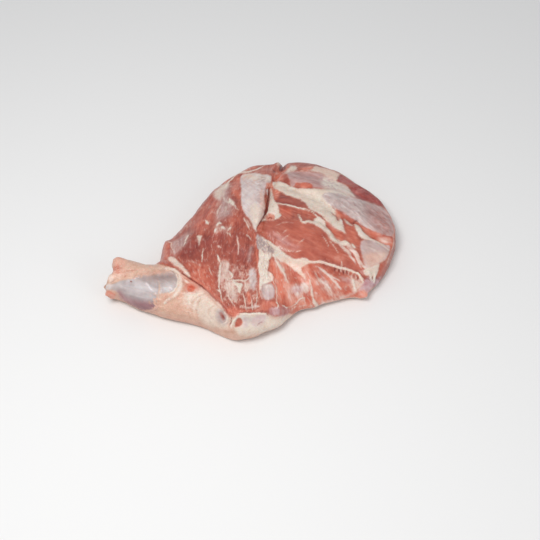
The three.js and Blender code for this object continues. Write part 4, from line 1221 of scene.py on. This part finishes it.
# %% Patterns
lamb, tree = new_material("raw_lamb_meat")
FIBRE_MM = 1.2               # width of a bundle of fibres
CORD_MM = 3.6                # width of a coarse cord of them
SLIP_MM = 8.5                # width of a soft lighter or darker streak
WISP_MM = 2.4                # width of a wisp of torn skin
STRETCH = 0.12               # a bundle is about eight times as long as it is wide
MATH, MIX, NOISE = "ShaderNodeMath", "ShaderNodeMix", "ShaderNodeTexNoise"
grain_map = add(tree, "ShaderNodeUVMap", uv_map="Grain")
strands = {}
for width, stretch, detail in ((FIBRE_MM, STRETCH, 2.0), (CORD_MM, 1.5 * STRETCH, 3.0), (SLIP_MM, 0.3, 2.0),
                               (WISP_MM, 2 * STRETCH, 3.0)):
    laid = add(tree, "ShaderNodeMapping",
               {"Vector": grain_map.outputs[0], "Location": (width, 3 * width, 0),
                "Scale": (1 / width, stretch / width, 1)})
    strands[width] = add(tree, NOISE,
                         {"Vector": laid.outputs[0], "Scale": 1.0, "Detail": detail, "Distortion": 0.4},
                         noise_dimensions="2D").outputs["Fac"]
place = add(tree, "ShaderNodeTexCoord")
lumpy_noise = {}
for size, detail in ((7, 3.0), (15, 2.0), (1.5, 3.0)):      # mm across a mottle, a patch and a grain of grit
    lumpy_noise[size] = add(tree, NOISE, {"Vector": place.outputs["Object"], "Scale": 1 / (size * MM),
                                          "Detail": detail}).outputs["Fac"]
mottle, patches, grit = lumpy_noise.values()
kept = {name: add(tree, "ShaderNodeAttribute", attribute_name=name).outputs["Fac"] for name in properties}
print("strand widths in mm:", sorted(strands))

# %% How light each tissue is from place to place
strings = add(tree, MIX, {0: 0.62, 2: strands[FIBRE_MM], 3: strands[CORD_MM]}).outputs[0]
centred = add(tree, MATH, {0: strings, 1: 0.5}, operation="SUBTRACT").outputs[0]
clear = add(tree, MATH, {0: patches, 1: 2.2, 2: -0.1}, operation="MULTIPLY_ADD").outputs[0]
drawn_out = add(tree, MATH, {0: centred, 1: kept["fibre"]}, operation="MULTIPLY").outputs[0]
stripes = add(tree, MATH, {0: drawn_out, 1: clear}, operation="MULTIPLY").outputs[0]
streaks = add(tree, MATH, {0: strands[SLIP_MM], 1: 0.5, 2: -0.25}, operation="MULTIPLY_ADD").outputs[0]
base = add(tree, MATH, {0: kept["bright"], 1: 0.5, 2: 0.3}, operation="MULTIPLY_ADD").outputs[0]
patchy = add(tree, MATH, {0: mottle, 1: 0.4, 2: base}, operation="MULTIPLY_ADD").outputs[0]
gritty = add(tree, MATH, {0: grit, 1: 0.5, 2: -0.25}, operation="MULTIPLY_ADD").outputs[0]
streaky = add(tree, MATH, {0: streaks, 1: patchy}, operation="ADD").outputs[0]
lean_level = add(tree, MATH, {0: stripes, 1: 0.75, 2: streaky}, operation="MULTIPLY_ADD").outputs[0]
skin_level = add(tree, MATH, {0: stripes, 1: 1.0, 2: streaky}, operation="MULTIPLY_ADD").outputs[0]
soft_level = add(tree, MATH, {0: patchy, 1: gritty}, operation="ADD").outputs[0]

# %% Colours of each tissue, dark to light
RAMPS = {
    "lean": (lean_level, "#702f27", "#9c4b3d", "#b3614e", "#da9c8a"),
    "orange lean": (lean_level, "#963624", "#c4563e", "#dc7d64", "#f2b9a5"),
    "plum lean": (lean_level, "#6a1f20", "#913837", "#a84c4a", "#c98079"),
    "fat": (soft_level, "#b19b88", "#d4c2b1", "#e5d8ca", "#f5efe6"),
    "pink fat": (soft_level, "#b98475", "#dda893", "#e9c2ae", "#f6e2d5"),
    "peach": (soft_level, "#ab8069", "#c99f88", "#dab59f", "#efdccb"),
    "pink peach": (soft_level, "#b97562", "#d5947f", "#e4ae9b", "#f2d0c0"),
    "silver": (skin_level, "#8f7f7c", "#b5a39e", "#cbbbb6", "#e8e0dc"),
    "blue silver": (skin_level, "#82808a", "#a8a6ac", "#c5c4ca", "#eaeaef"),
    "pink silver": (skin_level, "#8c5a55", "#b3827c", "#cba099", "#e6cdc5"),
    "veil": (skin_level, "#a57a6e", "#c99f92", "#dbbdaf", "#f0e1d8"),
    "blood_and_shade": (lean_level, "#4a1c18", "#7a3229", "#964a3d", "#b46d5b"),
    "plum": (skin_level, "#7a4c53", "#9d6a70", "#b98c91", "#dfc5c8"),
}
colour = {}
for name, (place_on, *codes) in RAMPS.items():
    stops = list(zip((0.0, 0.38, 0.62, 1.0), codes))
    colour[name] = add(tree, "ShaderNodeValToRGB", {0: place_on}, stops=stops).outputs[0]
print(len(colour), "ramps of colour")

# %% Warmer and cooler kinds of each
warmer = add(tree, MATH, {0: kept["warm"], 1: 0.0}, operation="MAXIMUM").outputs[0]
cooler = add(tree, MATH, {0: kept["warm"], 1: -1.0}, operation="MULTIPLY", use_clamp=True).outputs[0]
KINDS = (("lean", "orange lean", warmer), ("lean", "plum lean", cooler), ("fat", "pink fat", warmer),
         ("peach", "pink peach", warmer), ("silver", "pink silver", warmer),
         ("silver", "blue silver", cooler))
for name, kind, how_far in KINDS:
    colour[name] = add(tree, MIX, {0: how_far, 6: colour[name], 7: colour[kind]},
                       data_type="RGBA").outputs[2]

# %% Wisps of skin over the lean
wisp = add(tree, "ShaderNodeMapRange", {0: strands[WISP_MM], 1: 0.55, 2: 0.76},
           interpolation_type="SMOOTHSTEP").outputs[0]
wisp = add(tree, MATH, {0: wisp, 1: kept["wisps"]}, operation="MULTIPLY").outputs[0]
wisp = add(tree, MATH, {0: wisp, 1: 0.55}, operation="MULTIPLY").outputs[0]
body = add(tree, MIX, {0: wisp, 6: colour["lean"], 7: colour["veil"]}, data_type="RGBA").outputs[2]

# %% Tissues blended by their shares
# Fibres push each share up or down, which frays its edge. A power sharpens the blend.
RAGGED = {"veil": 2.4, "plum": 1.2, "silver": 1.0, "peach": 0.8, "fat": 1.5, "blood_and_shade": 0.8}
SHARPNESS = 1.7
lumpy = add(tree, MIX, {0: 0.5, 2: mottle, 3: grit}).outputs[0]
tattered = add(tree, MATH, {0: lumpy, 1: 2.2, 2: -0.1}, operation="MULTIPLY_ADD").outputs[0]
covered = kept["veil"]
for name in TISSUES:
    if name != "veil":
        covered = add(tree, MATH, {0: covered, 1: kept[name]}, operation="ADD").outputs[0]
bare = add(tree, MATH, {0: 1.0, 1: covered}, operation="SUBTRACT", use_clamp=True).outputs[0]
total = add(tree, MATH, {0: bare, 1: SHARPNESS}, operation="POWER").outputs[0]
total = add(tree, MATH, {0: total, 1: 1e-4}, operation="ADD").outputs[0]
weight = {}
for name, ragged in RAGGED.items():
    frayed = add(tree, MATH, {0: centred, 1: ragged, 2: tattered}, operation="MULTIPLY_ADD").outputs[0]
    pushed = add(tree, MATH, {0: frayed, 1: kept[name]}, operation="MULTIPLY", use_clamp=True).outputs[0]
    sharp = add(tree, MATH, {0: pushed, 1: SHARPNESS}, operation="POWER").outputs[0]
    total = add(tree, MATH, {0: total, 1: sharp}, operation="ADD").outputs[0]
    weight[name] = add(tree, MATH, {0: sharp, 1: total}, operation="DIVIDE").outputs[0]
    body = add(tree, MIX, {0: weight[name], 6: body, 7: colour[name]}, data_type="RGBA").outputs[2]

# %% Wet surface and fine bumps
fatty = add(tree, MATH, {0: kept["fat"], 1: kept["peach"]}, operation="ADD", use_clamp=True).outputs[0]
wet = add(tree, MIX, {0: fatty, 2: 0.4, 3: 0.5}).outputs[0]
wet = add(tree, MIX, {0: kept["silver"], 2: wet, 3: 0.3}).outputs[0]
gloss = add(tree, MATH, {0: gritty, 1: 0.3, 2: wet}, operation="MULTIPLY_ADD").outputs[0]
softly = add(tree, MATH, {0: fatty, 1: 0.7, 2: 0.3}, operation="MULTIPLY_ADD").outputs[0]
lumps = add(tree, MATH, {0: lumpy, 1: softly}, operation="MULTIPLY").outputs[0]
height = add(tree, MATH, {0: stripes, 1: 1.6, 2: lumps}, operation="MULTIPLY_ADD").outputs[0]
height = add(tree, MATH, {0: wisp, 1: 0.5, 2: height}, operation="MULTIPLY_ADD").outputs[0]
bump = add(tree, "ShaderNodeBump", {"Strength": 0.6, "Distance": 0.9 * MM, "Height": height})
flesh = add(tree, "ShaderNodeBsdfPrincipled",
            {"Base Color": body, "Roughness": gloss, "Normal": bump.outputs[0], "IOR": 1.4,
             "Subsurface Weight": 0.15, "Subsurface Radius": (1.0, 0.35, 0.2), "Subsurface Scale": 1.2 * MM,
             "Coat Weight": 0.2, "Coat Roughness": 0.22})
add(tree, "ShaderNodeOutputMaterial", {"Surface": flesh.outputs[0]})
skin_mesh.materials.clear()
skin_mesh.materials.append(lamb)
print(f"{lamb.name}: {len(tree.nodes)} nodes")

# %% Final update
bpy.context.view_layer.update()
